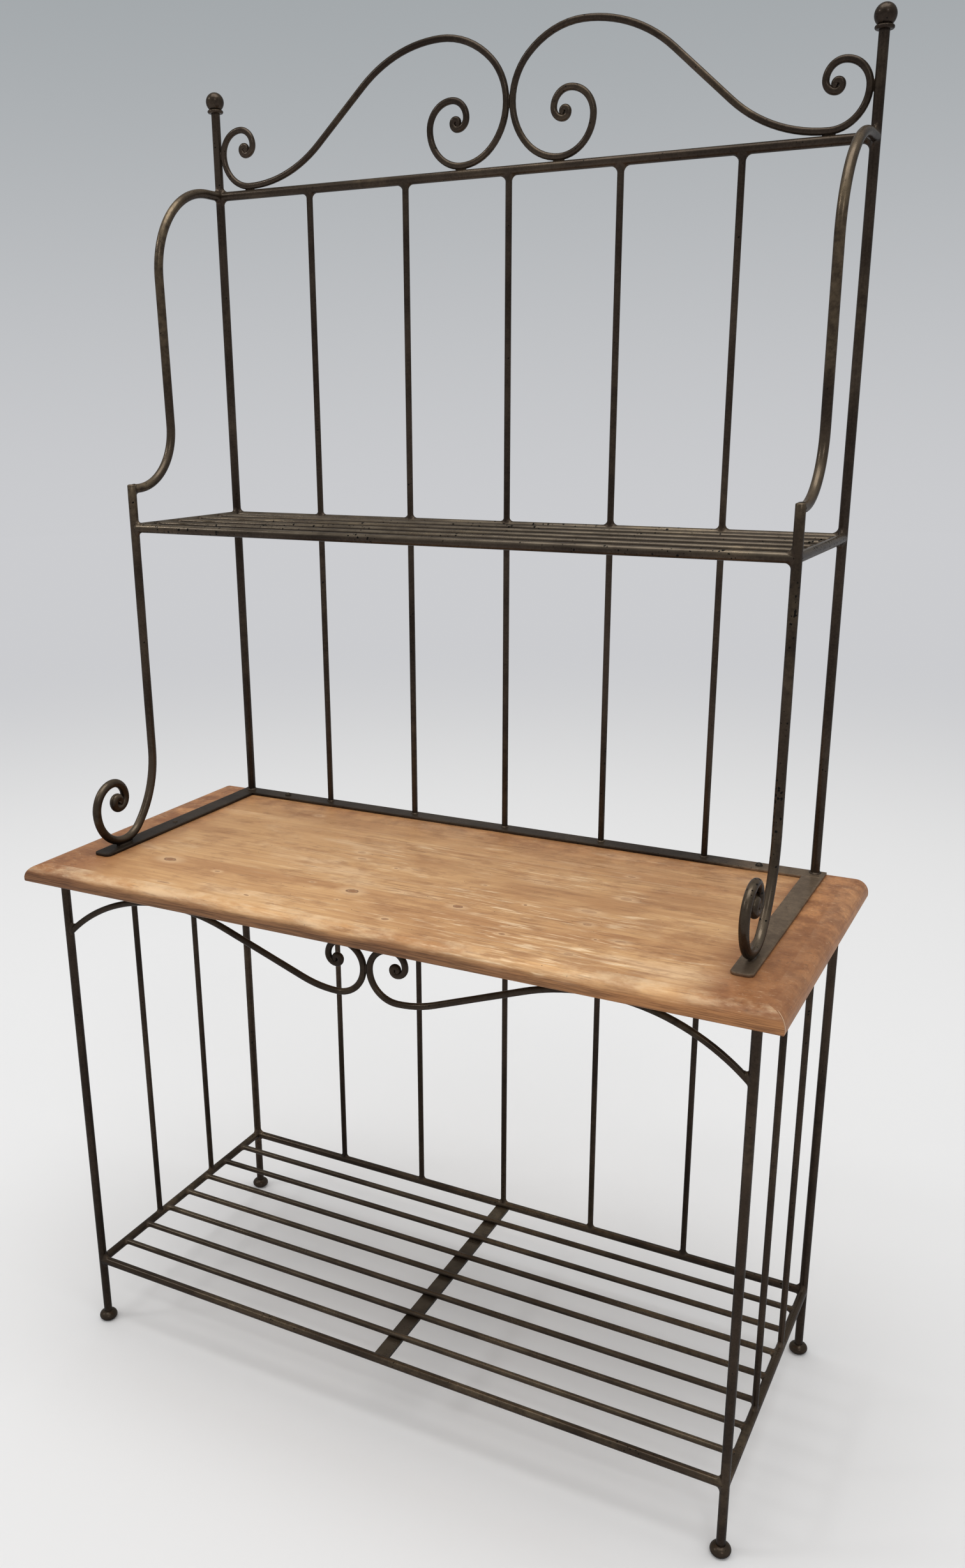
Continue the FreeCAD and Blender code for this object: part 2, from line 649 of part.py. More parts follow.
def make_strap_screws():
    """Countersunk wood screw in each side strap."""
    screws = []
    setbacks = {"left": "left_screw_setback", "right": "right_screw_setback"}
    for side, sign in SIDES:
        across = sign + " * hutch_side"
        along = "post_line + " + setbacks[side]
        shank = cylinder("strap_screw_shank_" + side, "Z", across, along,
                         "worktop_height - screw_grip", "screw_grip + strap_thickness / 2",
                         "screw_diameter / 2")
        head = doc.addObject("Part::Cone", "strap_screw_head_" + side)
        head.setExpression("Radius1", formula("screw_diameter / 2"))
        head.setExpression("Radius2", formula("screw_head_diameter / 2"))
        head.setExpression("Height", formula("screw_head_height"))
        place(head, across, along, "strap_top - screw_head_height")
        screws.append(fused("strap_screw_" + side, [shank, head]))
    return node("strap_screws", compound("strap_screws", screws))


def make_frame_screws():
    """Round-headed wood screws up through the front and rear frame straps."""
    screws = []
    lines = {"front": "front_leg_line - bar_radius + light_strap_width / 2",
             "rear": "rear_leg_line + bar_radius - light_strap_width / 2"}
    for end, along in lines.items():
        for number in range(FRAME_SCREWS):
            name = "frame_screw_%s_%d" % (end, number + 1)
            middle = (FRAME_SCREWS - 1) / 2
            across = "(%g) * hutch_width / %d" % (number - middle, BACK_RODS + 1)
            shank = cylinder(name + "_shank", "Z", across, along,
                             "frame_underside - screw_head_height",
                             "screw_head_height + frame_thickness + screw_grip",
                             "screw_diameter / 2")
            head = cylinder(name + "_head", "Z", across, along,
                            "frame_underside - screw_head_height", "screw_head_height",
                            "screw_head_diameter / 2")
            screws.append(fused(name, [shank, head]))
    return node("frame_screws", compound("frame_screws", screws))


# ---------------------------------------------------------------- hutch

def make_hutch_straps(fixings):
    """Rear strap over the full width, and two side straps with rounded front tips."""
    rear = plate("hutch_rear", "hutch_width + strap_width", "strap_width", "strap_thickness",
                 "-(hutch_width + strap_width) / 2", "strap_rear - strap_width",
                 "worktop_height")
    node("hutch_strap_rear", cut("hutch_strap_rear", rear, fixings))
    side_length = "strap_rear - strap_width - strap_front"
    for side, sign in SIDES:
        strap = plate("hutch_%s" % side, "strap_width", side_length, "strap_thickness",
                      sign + " * hutch_side - strap_width / 2", "strap_front",
                      "worktop_height")
        round_edges(strap, "strap_tip_round",
                    lambda point: near(point.y, 0) and near(point.z, size("strap_thickness") / 2))
        node("hutch_strap_" + side, cut("hutch_strap_" + side, strap, fixings))


def make_uprights():
    """Rear uprights on the rear strap, each with a finial."""
    uprights = {}
    for side, sign in SIDES:
        name = "hutch_upright_" + side
        across = sign + " * hutch_side"
        upright = cylinder(name, "Z", across, "upright_line", "strap_top",
                           "upright_height - strap_top", "bar_radius")
        uprights[side] = node(name, upright)
        node("finial_" + side, make_finial(side, across))
    return uprights


def make_finial(side, across):
    """Ball on a round-rimmed collar, over the top of its upright."""
    name = "finial_" + side
    core = cylinder(name + "_core", "Z", across, "upright_line", "upright_height",
                    "collar_height", "collar_radius - collar_height / 2")
    rim = doc.addObject("Part::Torus", name + "_rim")
    rim.setExpression("Radius1", formula("collar_radius - collar_height / 2"))
    rim.setExpression("Radius2", formula("collar_height / 2"))
    place(rim, across, "upright_line", "upright_height + collar_height / 2")
    ball = doc.addObject("Part::Sphere", name + "_ball")
    ball.setExpression("Radius", formula("ball_diameter / 2"))
    place(ball, across, "upright_line", "ball_centre")
    return fused(name, [core, rim, ball])


def make_posts():
    """Front posts that bend forward into a C scroll standing on the side strap."""
    frame = Placement(Vector(-size("hutch_side"), 0, 0), SIDE_VIEW)
    straight = size("post_height") - size("post_foot") - size("post_bend_height")
    route = Route(size("post_line"), size("post_height"), -90)
    route.line(straight)
    route.quarter(size("post_bend_height"), size("post_bend_reach"), -90)
    route.curl(size("post_curl"), size("post_roll"), POST_TIGHTNESS, 6, -90)
    bar = bent_bar("post", route, "bar_radius", frame)
    inner = route.inward(-90) * (size("post_snub_diameter") / 2 - size("bar_radius"))
    eye = snub("post_snub", route.point + inner, size("post_snub_diameter") / 2,
               size("post_snub_length"), frame)
    foot_weld = weld("post_weld", "Z", "-hutch_side", "post_line - post_bend_reach",
                     "strap_top", "post_foot - strap_top")
    left = node("hutch_post_left", fused("post_left", [bar, eye, foot_weld]))
    right = node("hutch_post_right", mirrored("post_right", left))
    return {"left": left, "right": right}


def make_arms(uprights, posts):
    """Side arms: level out of the upright, down in a long S, and level into the post."""
    frame = Placement(Vector(-size("hutch_side"), 0, 0), SIDE_VIEW)
    high, low = size("top_rail_height"), size("arm_end_height")
    lean = math.degrees(math.atan2(size("arm_lean"), high - low))
    bend = 90 + lean
    upper = size("arm_upper_bend") * math.tan(math.radians(bend / 2))
    lower = size("arm_lower_bend") * math.tan(math.radians(bend / 2))
    slope = math.hypot(size("arm_lean"), high - low)
    last = size("hutch_depth") - size("arm_reach") + size("arm_lean")
    route = Route(size("upright_line") - size("cope_start"), high, 180)
    route.line(size("arm_reach") - size("cope_start") - upper)
    route.arc(size("arm_upper_bend"), bend)
    route.line(slope - upper - lower)
    route.arc(size("arm_lower_bend"), -bend)
    route.line(last - lower - size("cope_start"))
    bar = bent_bar("arm", route, "bar_radius", frame)
    mates = [uprights["left"], posts["left"]]
    left = node("hutch_arm_left", cut("arm_left", bar, mates))
    right = node("hutch_arm_right", mirrored("arm_right", left))
    return {"left": left, "right": right}


def make_top_rail(uprights, arms):
    """Round rail between the uprights."""
    blank = cylinder("top_rail_blank", "X", "cope_start - hutch_side", "upright_line",
                     "top_rail_height", "hutch_width - 2 * cope_start", "bar_radius")
    mates = [uprights["left"], uprights["right"], arms["left"], arms["right"]]
    return node("hutch_top_rail", cut("top_rail", blank, mates))


def make_crest(uprights, top_rail):
    """Crest scrolls: an outer curl, a sweep up to the crown, and a loop that curls in."""
    frame = Placement(Vector(0, size("upright_line"), 0), FRONT_VIEW)
    lowest = size("top_rail_height") + size("scroll_offset")
    outer = size("scroll_offset") - size("hutch_side") + size("crest_outer_curl")
    crown = size("top_rail_height") + size("crest_height")
    contact = lowest + size("crest_loop_height")
    tail = Route(outer, lowest, 180)
    tail.curl(size("crest_outer_curl"), size("rod_roll"), CREST_TIGHTNESS, 6, -90)
    body = Route(outer, lowest, 0)
    body.sweep(-size("crest_crown") - outer, crown - lowest, CREST_STEEPNESS,
               CREST_LOWER_SHARE)
    body.quarter(size("crest_crown") - size("scroll_half_gap"), crown - contact, -90)
    body.quarter(size("crest_loop_height"), size("crest_loop_reach"), -90)
    body.curl(size("crest_inner_curl"), size("rod_roll"), CREST_TIGHTNESS, 6, -90)
    parts = [bent_bar("crest_tail", tail, "rod_radius", frame),
             bent_bar("crest_body", body, "rod_radius", frame)]
    for name, route in (("crest_tail_snub", tail), ("crest_body_snub", body)):
        inner = route.inward(-90) * (size("rod_snub_diameter") / 2 - size("rod_radius"))
        parts.append(snub(name, route.point + inner, size("rod_snub_diameter") / 2,
                          size("snub_length"), frame))
    for name, across in (("outer", "scroll_offset - hutch_side + crest_outer_curl"),
                         ("loop", "-scroll_half_gap - crest_loop_reach")):
        parts.append(weld("crest_%s_weld" % name, "Z", across, "upright_line",
                          "top_rail_height", "scroll_offset"))
    parts.append(weld("crest_upright_weld", "X", "-hutch_side", "upright_line",
                      "top_rail_height + scroll_offset + crest_outer_curl", "scroll_offset"))
    parts.append(weld("crest_centre_weld", "X", "-scroll_half_gap", "upright_line",
                      "top_rail_height + scroll_offset + crest_loop_height",
                      "scroll_half_gap"))
    whole = fused("crest_whole", parts)
    left = node("crest_scroll_left", cut("crest_left", whole, [uprights["left"], top_rail]))
    node("crest_scroll_right", mirrored("crest_right", left))


def make_upper_shelf(uprights, posts):
    """Round rails between posts and uprights, with lengthwise rods between the sides."""
    rails = {}
    for side, sign in SIDES:
        blank = cylinder("shelf_%s_blank" % side, "Y", sign + " * hutch_side",
                         "post_line + cope_start", "upper_shelf_height",
                         "hutch_depth - 2 * cope_start", "bar_radius")
        mates = [posts[side], uprights[side]]
        rails[side] = node("shelf_rail_" + side, cut("shelf_rail_" + side, blank, mates))
    ends = (("front", "post_line", posts), ("rear", "upright_line", uprights))
    for end, line, stands in ends:
        blank = cylinder("shelf_%s_blank" % end, "X", "cope_start - hutch_side", line,
                         "upper_shelf_height", "hutch_width - 2 * cope_start", "bar_radius")
        mates = [stands["left"], stands["right"], rails["left"], rails["right"]]
        rails[end] = node("shelf_rail_" + end, cut("shelf_rail_" + end, blank, mates))
    for number in range(1, UPPER_SHELF_RODS + 1):
        name = "shelf_rod_%d" % number
        along = "post_line + %d * hutch_depth / %d" % (number, UPPER_SHELF_RODS + 1)
        blank = cylinder(name + "_blank", "X", "cope_start - hutch_side", along,
                         "upper_shelf_height + rod_lift", "hutch_width - 2 * cope_start",
                         "rod_radius")
        node(name, cut(name, blank, [rails["left"], rails["right"]]))
    return rails


def make_hutch_back_rods(shelf_rear, top_rail):
    """Back rods from the rear strap to the shelf and from the shelf to the top rail."""
    spans = (
        ("lower", "strap_top", "upper_shelf_height - cope_start - strap_top", [shelf_rear]),
        ("upper", "upper_shelf_height + cope_start",
         "top_rail_height - upper_shelf_height - 2 * cope_start", [shelf_rear, top_rail]),
    )
    for span, start, length, mates in spans:
        rods = []
        for number in range(BACK_RODS):
            name = "hutch_%s_rod_%d" % (span, number + 1)
            across = "%g * hutch_width / %d" % (number - (BACK_RODS - 1) / 2, BACK_RODS + 1)
            blank = cylinder(name, "Z", across, "upright_line", start, length, "rod_radius")
            rods.append(cut(name, blank, mates))
        label = "hutch_back_rods_" + span
        node(label, compound(label, rods))


# ---------------------------------------------------------------- whole rack

def make_rack():
    """Build every sub-part, from the floor up."""
    fill_sheet()
    legs = make_feet_and_legs()
    lower_rails = make_lower_rails(legs)
    make_lower_shelf(lower_rails)
    make_base_rods(lower_rails)
    make_apron(legs)
    bores = make_bolts()
    strap_screws = make_strap_screws()
    frame_screws = make_frame_screws()
    for place_name, strap in make_frame_straps().items():
        label = "frame_strap_" + place_name
        node(label, cut(label, strap, [bores, frame_screws]))
    make_worktop([bores, strap_screws, frame_screws])
    make_hutch_straps([bores, strap_screws])
    uprights = make_uprights()
    posts = make_posts()
    arms = make_arms(uprights, posts)
    top_rail = make_top_rail(uprights, arms)
    make_crest(uprights, top_rail)
    shelf_rails = make_upper_shelf(uprights, posts)
    make_hutch_back_rods(shelf_rails["rear"], top_rail)
    doc.recompute()


def check_rack():
    """Stop if any object failed or any sub-part has no sound shape."""
    failed = [item.Name for item in doc.Objects
              if "Invalid" in item.State or "Error" in item.State]
    unsound = [item.Label for item in nodes
               if item.Shape.isNull() or not item.Shape.isValid() or not item.Shape.Solids]
    if failed or unsound:
        raise RuntimeError("failed: %s; unsound: %s" % (failed, unsound))


def write_rack():
    """Write one STEP file for each sub-part."""
    for item in nodes:
        item.Shape.exportStep("parts/%s.step" % item.Label)
        print("%-26s %2d solid(s) %12.1f mm3" % (item.Label, len(item.Shape.Solids),
                                                 item.Shape.Volume))


make_rack()
check_rack()
write_rack()
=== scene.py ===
"""Looks of a bakers rack: a welded round-bar base and hutch in lacquered bronze steel, and a pine worktop.

Each sub-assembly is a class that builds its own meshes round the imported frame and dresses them.
Lengths are in metres.  +X is to the right, +Y to the back and +Z up.
"""

import logging
import math
import random
from dataclasses import dataclass, field
from enum import Enum
from functools import reduce
from typing import Iterable, Optional, Sequence, Union

import bmesh
import bpy
from mathutils import Matrix, Vector


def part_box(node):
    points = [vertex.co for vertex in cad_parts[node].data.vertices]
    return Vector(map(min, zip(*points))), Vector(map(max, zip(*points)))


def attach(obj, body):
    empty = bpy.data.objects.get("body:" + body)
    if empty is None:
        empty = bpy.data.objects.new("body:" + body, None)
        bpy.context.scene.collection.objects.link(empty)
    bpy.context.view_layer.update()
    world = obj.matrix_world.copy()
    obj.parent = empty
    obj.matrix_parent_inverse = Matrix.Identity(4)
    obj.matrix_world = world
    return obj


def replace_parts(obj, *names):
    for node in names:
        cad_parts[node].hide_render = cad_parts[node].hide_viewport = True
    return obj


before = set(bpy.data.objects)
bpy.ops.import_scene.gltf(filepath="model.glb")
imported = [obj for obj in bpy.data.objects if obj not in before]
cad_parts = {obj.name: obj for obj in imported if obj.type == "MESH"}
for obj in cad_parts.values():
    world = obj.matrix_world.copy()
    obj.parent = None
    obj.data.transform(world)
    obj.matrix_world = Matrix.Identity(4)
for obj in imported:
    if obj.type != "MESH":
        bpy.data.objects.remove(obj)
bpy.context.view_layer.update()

Colour = tuple[float, float, float]
Socket = bpy.types.NodeSocket
Value = Union[float, Sequence[float], Socket]
Waves = tuple[tuple[float, float], ...]

LOG = logging.getLogger("bakers_rack")
BODY = "root"
# Faces that meet at a sharper angle than this keep a hard edge between them.
CREASE = math.radians(42.0)
LARGEST_PHASE = 6.28
# A seam on a flat treats the flat as a bar this thick.
FLAT_RADIUS = 0.5
ACROSS, ALONG, UP = Vector((1, 0, 0)), Vector((0, 1, 0)), Vector((0, 0, 1))


# ---------------------------------------------------------------- shader graphs

@dataclass(frozen=True)
class Fade:
    """Values at which a mask is 0 and full, and how strong the full mask is."""

    start: float = 0.0
    end: float = 1.0
    depth: float = 1.0


@dataclass(frozen=True)
class Pattern:
    """Noise: features to a metre on all axes or on each, finer layers and their strength, and its mask."""

    pitch: Union[float, tuple[float, float, float]]
    detail: float
    roughness: float
    fade: Fade = Fade()


class Graph:
    """Short hand for laying out nodes in one shader tree."""

    def __init__(self, tree: bpy.types.NodeTree) -> None:
        """Keep the tree that the nodes go in."""
        self.tree = tree

    def add(self, kind: str, **settings: object) -> bpy.types.Node:
        """Add a node and set its options.

        Args:
            kind: Blender's name of the node type.
            settings: option names and values.

        Returns:
            The new node.
        """
        node = self.tree.nodes.new(kind)
        for name, value in settings.items():
            setattr(node, name, value)
        return node

    def feed(self, socket: Socket, value: Value) -> None:
        """Link another socket to this one, or set its constant.

        Args:
            socket: the input that is fed.
            value: a socket, or a plain number or colour.
        """
        if isinstance(value, bpy.types.NodeSocket):
            self.tree.links.new(value, socket)
        elif socket.type == "RGBA" and len(value) == 3:
            socket.default_value = (*value, 1.0)
        else:
            socket.default_value = value

    def math(self, operation: str, first: Value, second: Value = 0.0, third: Value = 0.0) -> Socket:
        """Arithmetic on one to three numbers.

        Args:
            operation: Blender's name of the operation.
            first: first number.
            second: second number.
            third: third number.

        Returns:
            The result's socket.
        """
        node = self.add("ShaderNodeMath", operation=operation)
        for socket, value in zip(node.inputs, (first, second, third)):
            self.feed(socket, value)
        return node.outputs[0]

    def times(self, *values: Value) -> Socket:
        """Multiply two or more numbers."""
        return reduce(lambda product, value: self.math("MULTIPLY", product, value), values)

    def most(self, *values: Value) -> Socket:
        """Take the largest of two or more numbers."""
        return reduce(lambda largest, value: self.math("MAXIMUM", largest, value), values)

    def vector(self, operation: str, first: Value, second: Value = (0.0, 0.0, 0.0)) -> Socket:
        """Arithmetic on two vectors.

        Args:
            operation: Blender's name of the operation.
            first: first vector.
            second: second vector.

        Returns:
            The result's socket.
        """
        node = self.add("ShaderNodeVectorMath", operation=operation)
        self.feed(node.inputs[0], first)
        self.feed(node.inputs[1], second)
        return node.outputs["Value" if operation == "LENGTH" else "Vector"]

    def fade(self, value: Value, fade: Fade) -> Socket:
        """Turn a value into a smooth mask.

        Args:
            value: what is measured.
            fade: values that give 0 and the full mask, and its depth.

        Returns:
            A mask from 0 to the fade's depth.
        """
        node = self.add("ShaderNodeMapRange", interpolation_type="SMOOTHSTEP")
        self.feed(node.inputs["Value"], value)
        (low, at_low), (high, at_high) = sorted([(fade.start, 0.0), (fade.end, fade.depth)])
        for label, number in (("From Min", low), ("From Max", high), ("To Min", at_low), ("To Max", at_high)):
            node.inputs[label].default_value = number
        return node.outputs["Result"]

    def span(self, value: Value, low: Value, high: Value) -> Socket:
        """Spread a mask from 0 to 1 over two limits.

        Args:
            value: mask from 0 to 1.
            low: result at 0.
            high: result at 1.

        Returns:
            The spread number.
        """
        node = self.add("ShaderNodeMapRange")
        self.feed(node.inputs["Value"], value)
        self.feed(node.inputs["To Min"], low)
        self.feed(node.inputs["To Max"], high)
        return node.outputs["Result"]

    def noise(self, place: Value, pattern: Pattern) -> Socket:
        """Smooth noise from 0 to 1.

        Args:
            place: where it is measured.
            pattern: its pitch, detail and roughness.

        Returns:
            The noise's socket.
        """
        scale = pattern.pitch
        if isinstance(scale, tuple):
            place, scale = self.vector("MULTIPLY", place, scale), 1.0
        node = self.add("ShaderNodeTexNoise")
        self.feed(node.inputs["Vector"], place)
        for label, number in (("Scale", scale), ("Detail", pattern.detail), ("Roughness", pattern.roughness)):
            node.inputs[label].default_value = number
        return node.outputs["Fac"]

    def mask(self, place: Value, pattern: Pattern) -> Socket:
        """Mask of a pattern's noise."""
        return self.fade(self.noise(place, pattern), pattern.fade)

    def ragged(self, place: Value, pattern: Pattern, reach: float) -> Socket:
        """Noise that runs from minus a reach to the reach."""
        return self.math("MULTIPLY_ADD", self.noise(place, pattern), 2 * reach, -reach)

    def cells(self, place: Value, pitch: float, **settings: object) -> bpy.types.bpy_prop_collection:
        """Scattered cells.

        Args:
            place: where they are measured.
            pitch: cells to a metre.
            settings: further options of the node.

        Returns:
            The node's outputs, with each cell's distance and random colour.
        """
        node = self.add("ShaderNodeTexVoronoi", feature="F1", **settings)
        self.feed(node.inputs["Vector"], place)
        node.inputs["Scale"].default_value = pitch
        return node.outputs

    def mix(self, mask: Value, first: Value, second: Value) -> Socket:
        """Mix two colours.

        Args:
            mask: share of the second colour.
            first: colour at 0.
            second: colour at 1.

        Returns:
            The mixed colour's socket.
        """
        node = self.add("ShaderNodeMix", data_type="RGBA")
        colours = [socket for socket in node.inputs if socket.type == "RGBA"]
        for socket, value in zip((node.inputs["Factor"], *colours), (mask, first, second)):
            self.feed(socket, value)
        return next(socket for socket in node.outputs if socket.type == "RGBA")

    def tint(self, colour: Value, shade: Value, *masks: Value) -> Socket:
        """Colour that turns into a shade where all the masks are full."""
        return self.mix(self.times(*masks), colour, shade)

    def joined(self, across: Value = 0.0, along: Value = 0.0, up: Value = 0.0) -> Socket:
        """Vector made of three numbers.

        Args:
            across: first number.
            along: second number.
            up: third number.

        Returns:
            The vector's socket.
        """
        node = self.add("ShaderNodeCombineXYZ")
        for socket, value in zip(node.inputs, (across, along, up)):
            self.feed(socket, value)
        return node.outputs[0]

    def parts(self, vector: Value) -> tuple[Socket, Socket, Socket]:
        """Three numbers of a vector.

        Args:
            vector: the vector.

        Returns:
            A socket for each number.
        """
        node = self.add("ShaderNodeSeparateXYZ")
        self.feed(node.inputs[0], vector)
        return tuple(node.outputs)

    def group(self, tree: bpy.types.NodeTree, **values: Value) -> bpy.types.bpy_prop_collection:
        """Place a node group with its own values.

        Args:
            tree: the group.
            values: input names, with underscores for spaces, and what feeds them.

        Returns:
            The group's outputs.
        """
        node = self.add("ShaderNodeGroup", node_tree=tree)
        for name, value in values.items():
            self.feed(node.inputs[name.replace("_", " ")], value)
        return node.outputs


class Surface:
    """New material with its graph and the place on the rack."""

    def __init__(self, name: str) -> None:
        """Make the material.

        Args:
            name: the material's name.
        """
        self.material = bpy.data.materials.new(name)
        self.material.use_nodes = True
        self.nodes = self.material.node_tree.nodes
        self.graph = Graph(self.material.node_tree)
        self.position = self.graph.add("ShaderNodeTexCoord").outputs["Object"]

    def feed_shader(self, sockets: dict[str, Value]) -> bpy.types.Material:
        """Feed the main shader.

        Args:
            sockets: names of its inputs, and what feeds them.

        Returns:
            The material.
        """
        for label, value in sockets.items():
            self.graph.feed(self.nodes["Principled BSDF"].inputs[label], value)
        return self.material

    def bump(self, height: Value, strength: float, relief: float) -> Socket:
        """Bump of a surface.

        Args:
            height: height from 0 to 1.
            strength: how much of it shows.
            relief: what a height of 1 stands for.

        Returns:
            The bumped normal.
        """
        node = self.graph.add("ShaderNodeBump")
        for label, value in (("Height", height), ("Strength", strength), ("Distance", relief)):
            self.graph.feed(node.inputs[label], value)
        return node.outputs["Normal"]


class Kind(Enum):
    """Kinds of socket that a shader group has."""

    NUMBER = "NodeSocketFloat"
    VECTOR = "NodeSocketVector"
    COLOUR = "NodeSocketColor"


class SharedGroup:
    """Shader node group with named sockets, built once and used by several materials."""

    def __init__(self, name: str, inputs: dict[str, Kind], outputs: dict[str, Kind]) -> None:
        """Make the empty group.

        Args:
            name: the group's name.
            inputs: name and kind of each input.
            outputs: name and kind of each output.
        """
        self.tree = bpy.data.node_groups.new(name, "ShaderNodeTree")
        for way, sockets in (("INPUT", inputs), ("OUTPUT", outputs)):
            for label, kind in sockets.items():
                self.tree.interface.new_socket(name=label, in_out=way, socket_type=kind.value)
        self.graph = Graph(self.tree)
        self.given = self.graph.add("NodeGroupInput").outputs
        self.made = self.graph.add("NodeGroupOutput").inputs

    def put_out(self, **values: Value) -> bpy.types.NodeTree:
        """Feed the group's outputs.

        Args:
            values: what feeds each output.

        Returns:
            The finished group.
        """
        for label, value in values.items():
            self.graph.feed(self.made[label], value)
        return self.tree


# ---------------------------------------------------------------- shared effects

@dataclass(frozen=True)
class Patina:
    """Uneven tone of hand-finished lacquered steel, lighter in patches on faces that point up, which is
    partly wear and partly painted top light.
    """

    broad: Pattern = Pattern(6.0, 3.0, 0.6)
    fine: Pattern = Pattern(85.0, 4.0, 0.65)
    grit: Pattern = Pattern(300.0, 3.0, 0.6)
    broad_share: float = 0.60
    fine_share: float = 0.16
    grit_share: float = 0.24
    tone: Fade = Fade(0.34, 0.68)
    # Faces that point up turn lighter: partly wear, partly painted top light.
    upward_top_light: Fade = Fade(-0.10, 0.95)
    rubbed_places: Pattern = Pattern(19.0, 3.0, 0.6, Fade(0.3, 0.7))
    least_rub: float = 0.45
    brass_places: Pattern = Pattern(5.0, 2.0, 0.5, Fade(0.50, 0.64))
    brass_grain: Fade = Fade(0.22, 0.72)
    grit_height: float = 0.12

    def group(self) -> bpy.types.NodeTree:
        """Build the shared group.

        Returns:
            A group that puts out Tone, Rub, Brass and Height.
        """
        shared = SharedGroup("patina", {"Position": Kind.VECTOR},
                             dict.fromkeys(("Tone", "Rub", "Brass", "Height"), Kind.NUMBER))
        g, position = shared.graph, shared.given["Position"]
        broad, fine, grit = (g.noise(position, pattern) for pattern in (self.broad, self.fine, self.grit))
        tone = g.math("MULTIPLY_ADD", fine, self.fine_share, g.times(broad, self.broad_share))
        tone = g.math("MULTIPLY_ADD", grit, self.grit_share, tone)
        # Lighter toward faces that point up: wear, and painted top light.
        upward_top_light = g.parts(g.add("ShaderNodeNewGeometry").outputs["Normal"])[2]
        rubbed_and_top_lit = g.span(g.mask(position, self.rubbed_places), self.least_rub, 1.0)
        return shared.put_out(
            Tone=g.fade(tone, self.tone),
            Rub=g.times(g.fade(upward_top_light, self.upward_top_light), rubbed_and_top_lit),
            Brass=g.times(g.mask(position, self.brass_places), g.fade(fine, self.brass_grain)),
            Height=g.math("MULTIPLY_ADD", grit, self.grit_height, fine),
        )


@dataclass(frozen=True)
class Pitting:
    """Black pits and scale spots of old bar, in clusters."""

    clusters: Pattern = Pattern(7.0, 3.0, 0.6, Fade(0.36, 0.66))
    wobble: Pattern = Pattern(420.0, 2.0, 0.6)
    wobble_reach: float = 0.0036
    pitch: float = 235.0
    sizes: Fade = Fade(0.46, 1.10, 0.40)
    densest: float = 1.5
    rim: Fade = Fade(0.0, 0.06)

    def group(self) -> bpy.types.NodeTree:
        """Build the shared group.

        Returns:
            A group that puts out a Mask, which is 1 in a pit.
        """
        shared = SharedGroup("pitting", {"Position": Kind.VECTOR, "Amount": Kind.NUMBER},
                             {"Mask": Kind.NUMBER})
        g, position = shared.graph, shared.given["Position"]
        wobble = g.times(g.noise(position, self.wobble), self.wobble_reach)
        cells = g.cells(g.vector("ADD", position, g.joined(wobble, wobble, wobble)), self.pitch)
        size = g.fade(g.parts(cells["Color"])[0], self.sizes)
        density = g.times(g.mask(position, self.clusters), shared.given["Amount"])
        radius = g.times(g.math("MINIMUM", density, self.densest), size)
        return shared.put_out(Mask=g.fade(g.math("SUBTRACT", radius, cells["Distance"]), self.rim))


@dataclass(frozen=True)
class KnotMark:
    """One knot and the grain that bends round it, measured in the knot's own half sizes."""

    wobble: Pattern = Pattern(260.0, 2.0, 0.6)
    wobble_reach: float = 0.25
    core: Fade = Fade(1.05, 0.50)
    rim_inside: Fade = Fade(0.66, 0.92)
    rim_outside: Fade = Fade(1.22, 1.0)
    halo: Fade = Fade(3.6, 1.1)
    push: Fade = Fade(4.5, 0.5, -0.75)

    def group(self) -> bpy.types.NodeTree:
        """Build the shared group.

        Returns:
            A group that puts out Core, Rim, Halo and Push.
        """
        shared = SharedGroup("knot", dict.fromkeys(("Position", "Centre", "Spread"), Kind.VECTOR),
                             dict.fromkeys(("Core", "Rim", "Halo", "Push"), Kind.NUMBER))
        g, given = shared.graph, shared.given
        offset = g.vector("SUBTRACT", given["Position"], given["Centre"])
        distance = g.vector("LENGTH", g.vector("MULTIPLY", offset, given["Spread"]))
        reach = g.math("ADD", distance, g.ragged(given["Position"], self.wobble, self.wobble_reach))
        return shared.put_out(
            Core=g.fade(reach, self.core),
            Rim=g.times(g.fade(reach, self.rim_inside), g.fade(reach, self.rim_outside)),
            Halo=g.fade(reach, self.halo),
            Push=g.times(g.parts(offset)[1], g.fade(reach, self.push)),
        )


@dataclass(frozen=True)
class PineColours:
    """Colours of the pine and of its marks."""

    autumn: Colour = (0.476, 0.254, 0.106)
    spring: Colour = (0.610, 0.362, 0.164)
    cloud: Colour = (0.372, 0.178, 0.070)
    pale: Colour = (0.730, 0.500, 0.290)
    line: Colour = (0.245, 0.113, 0.045)
    scrubbed: Colour = (0.800, 0.600, 0.380)
    duct: Colour = (0.095, 0.048, 0.027)
    smudge: Colour = (0.290, 0.132, 0.052)
    halo: Colour = (0.760, 0.530, 0.310)
    knot: Colour = (0.245, 0.104, 0.040)
    knot_rim: Colour = (0.150, 0.064, 0.027)
    red: Colour = (0.430, 0.190, 0.070)
    red_dark: Colour = (0.200, 0.072, 0.025)
    worn_edge: Colour = (0.760, 0.560, 0.345)
    left_soil: Colour = (0.190, 0.086, 0.038)
    left_soil_dark: Colour = (0.080, 0.034, 0.016)
    right_soil: Colour = (0.370, 0.170, 0.066)
    right_soil_dark: Colour = (0.190, 0.080, 0.031)
    glue: Colour = (0.620, 0.440, 0.275)


PINE = PineColours()


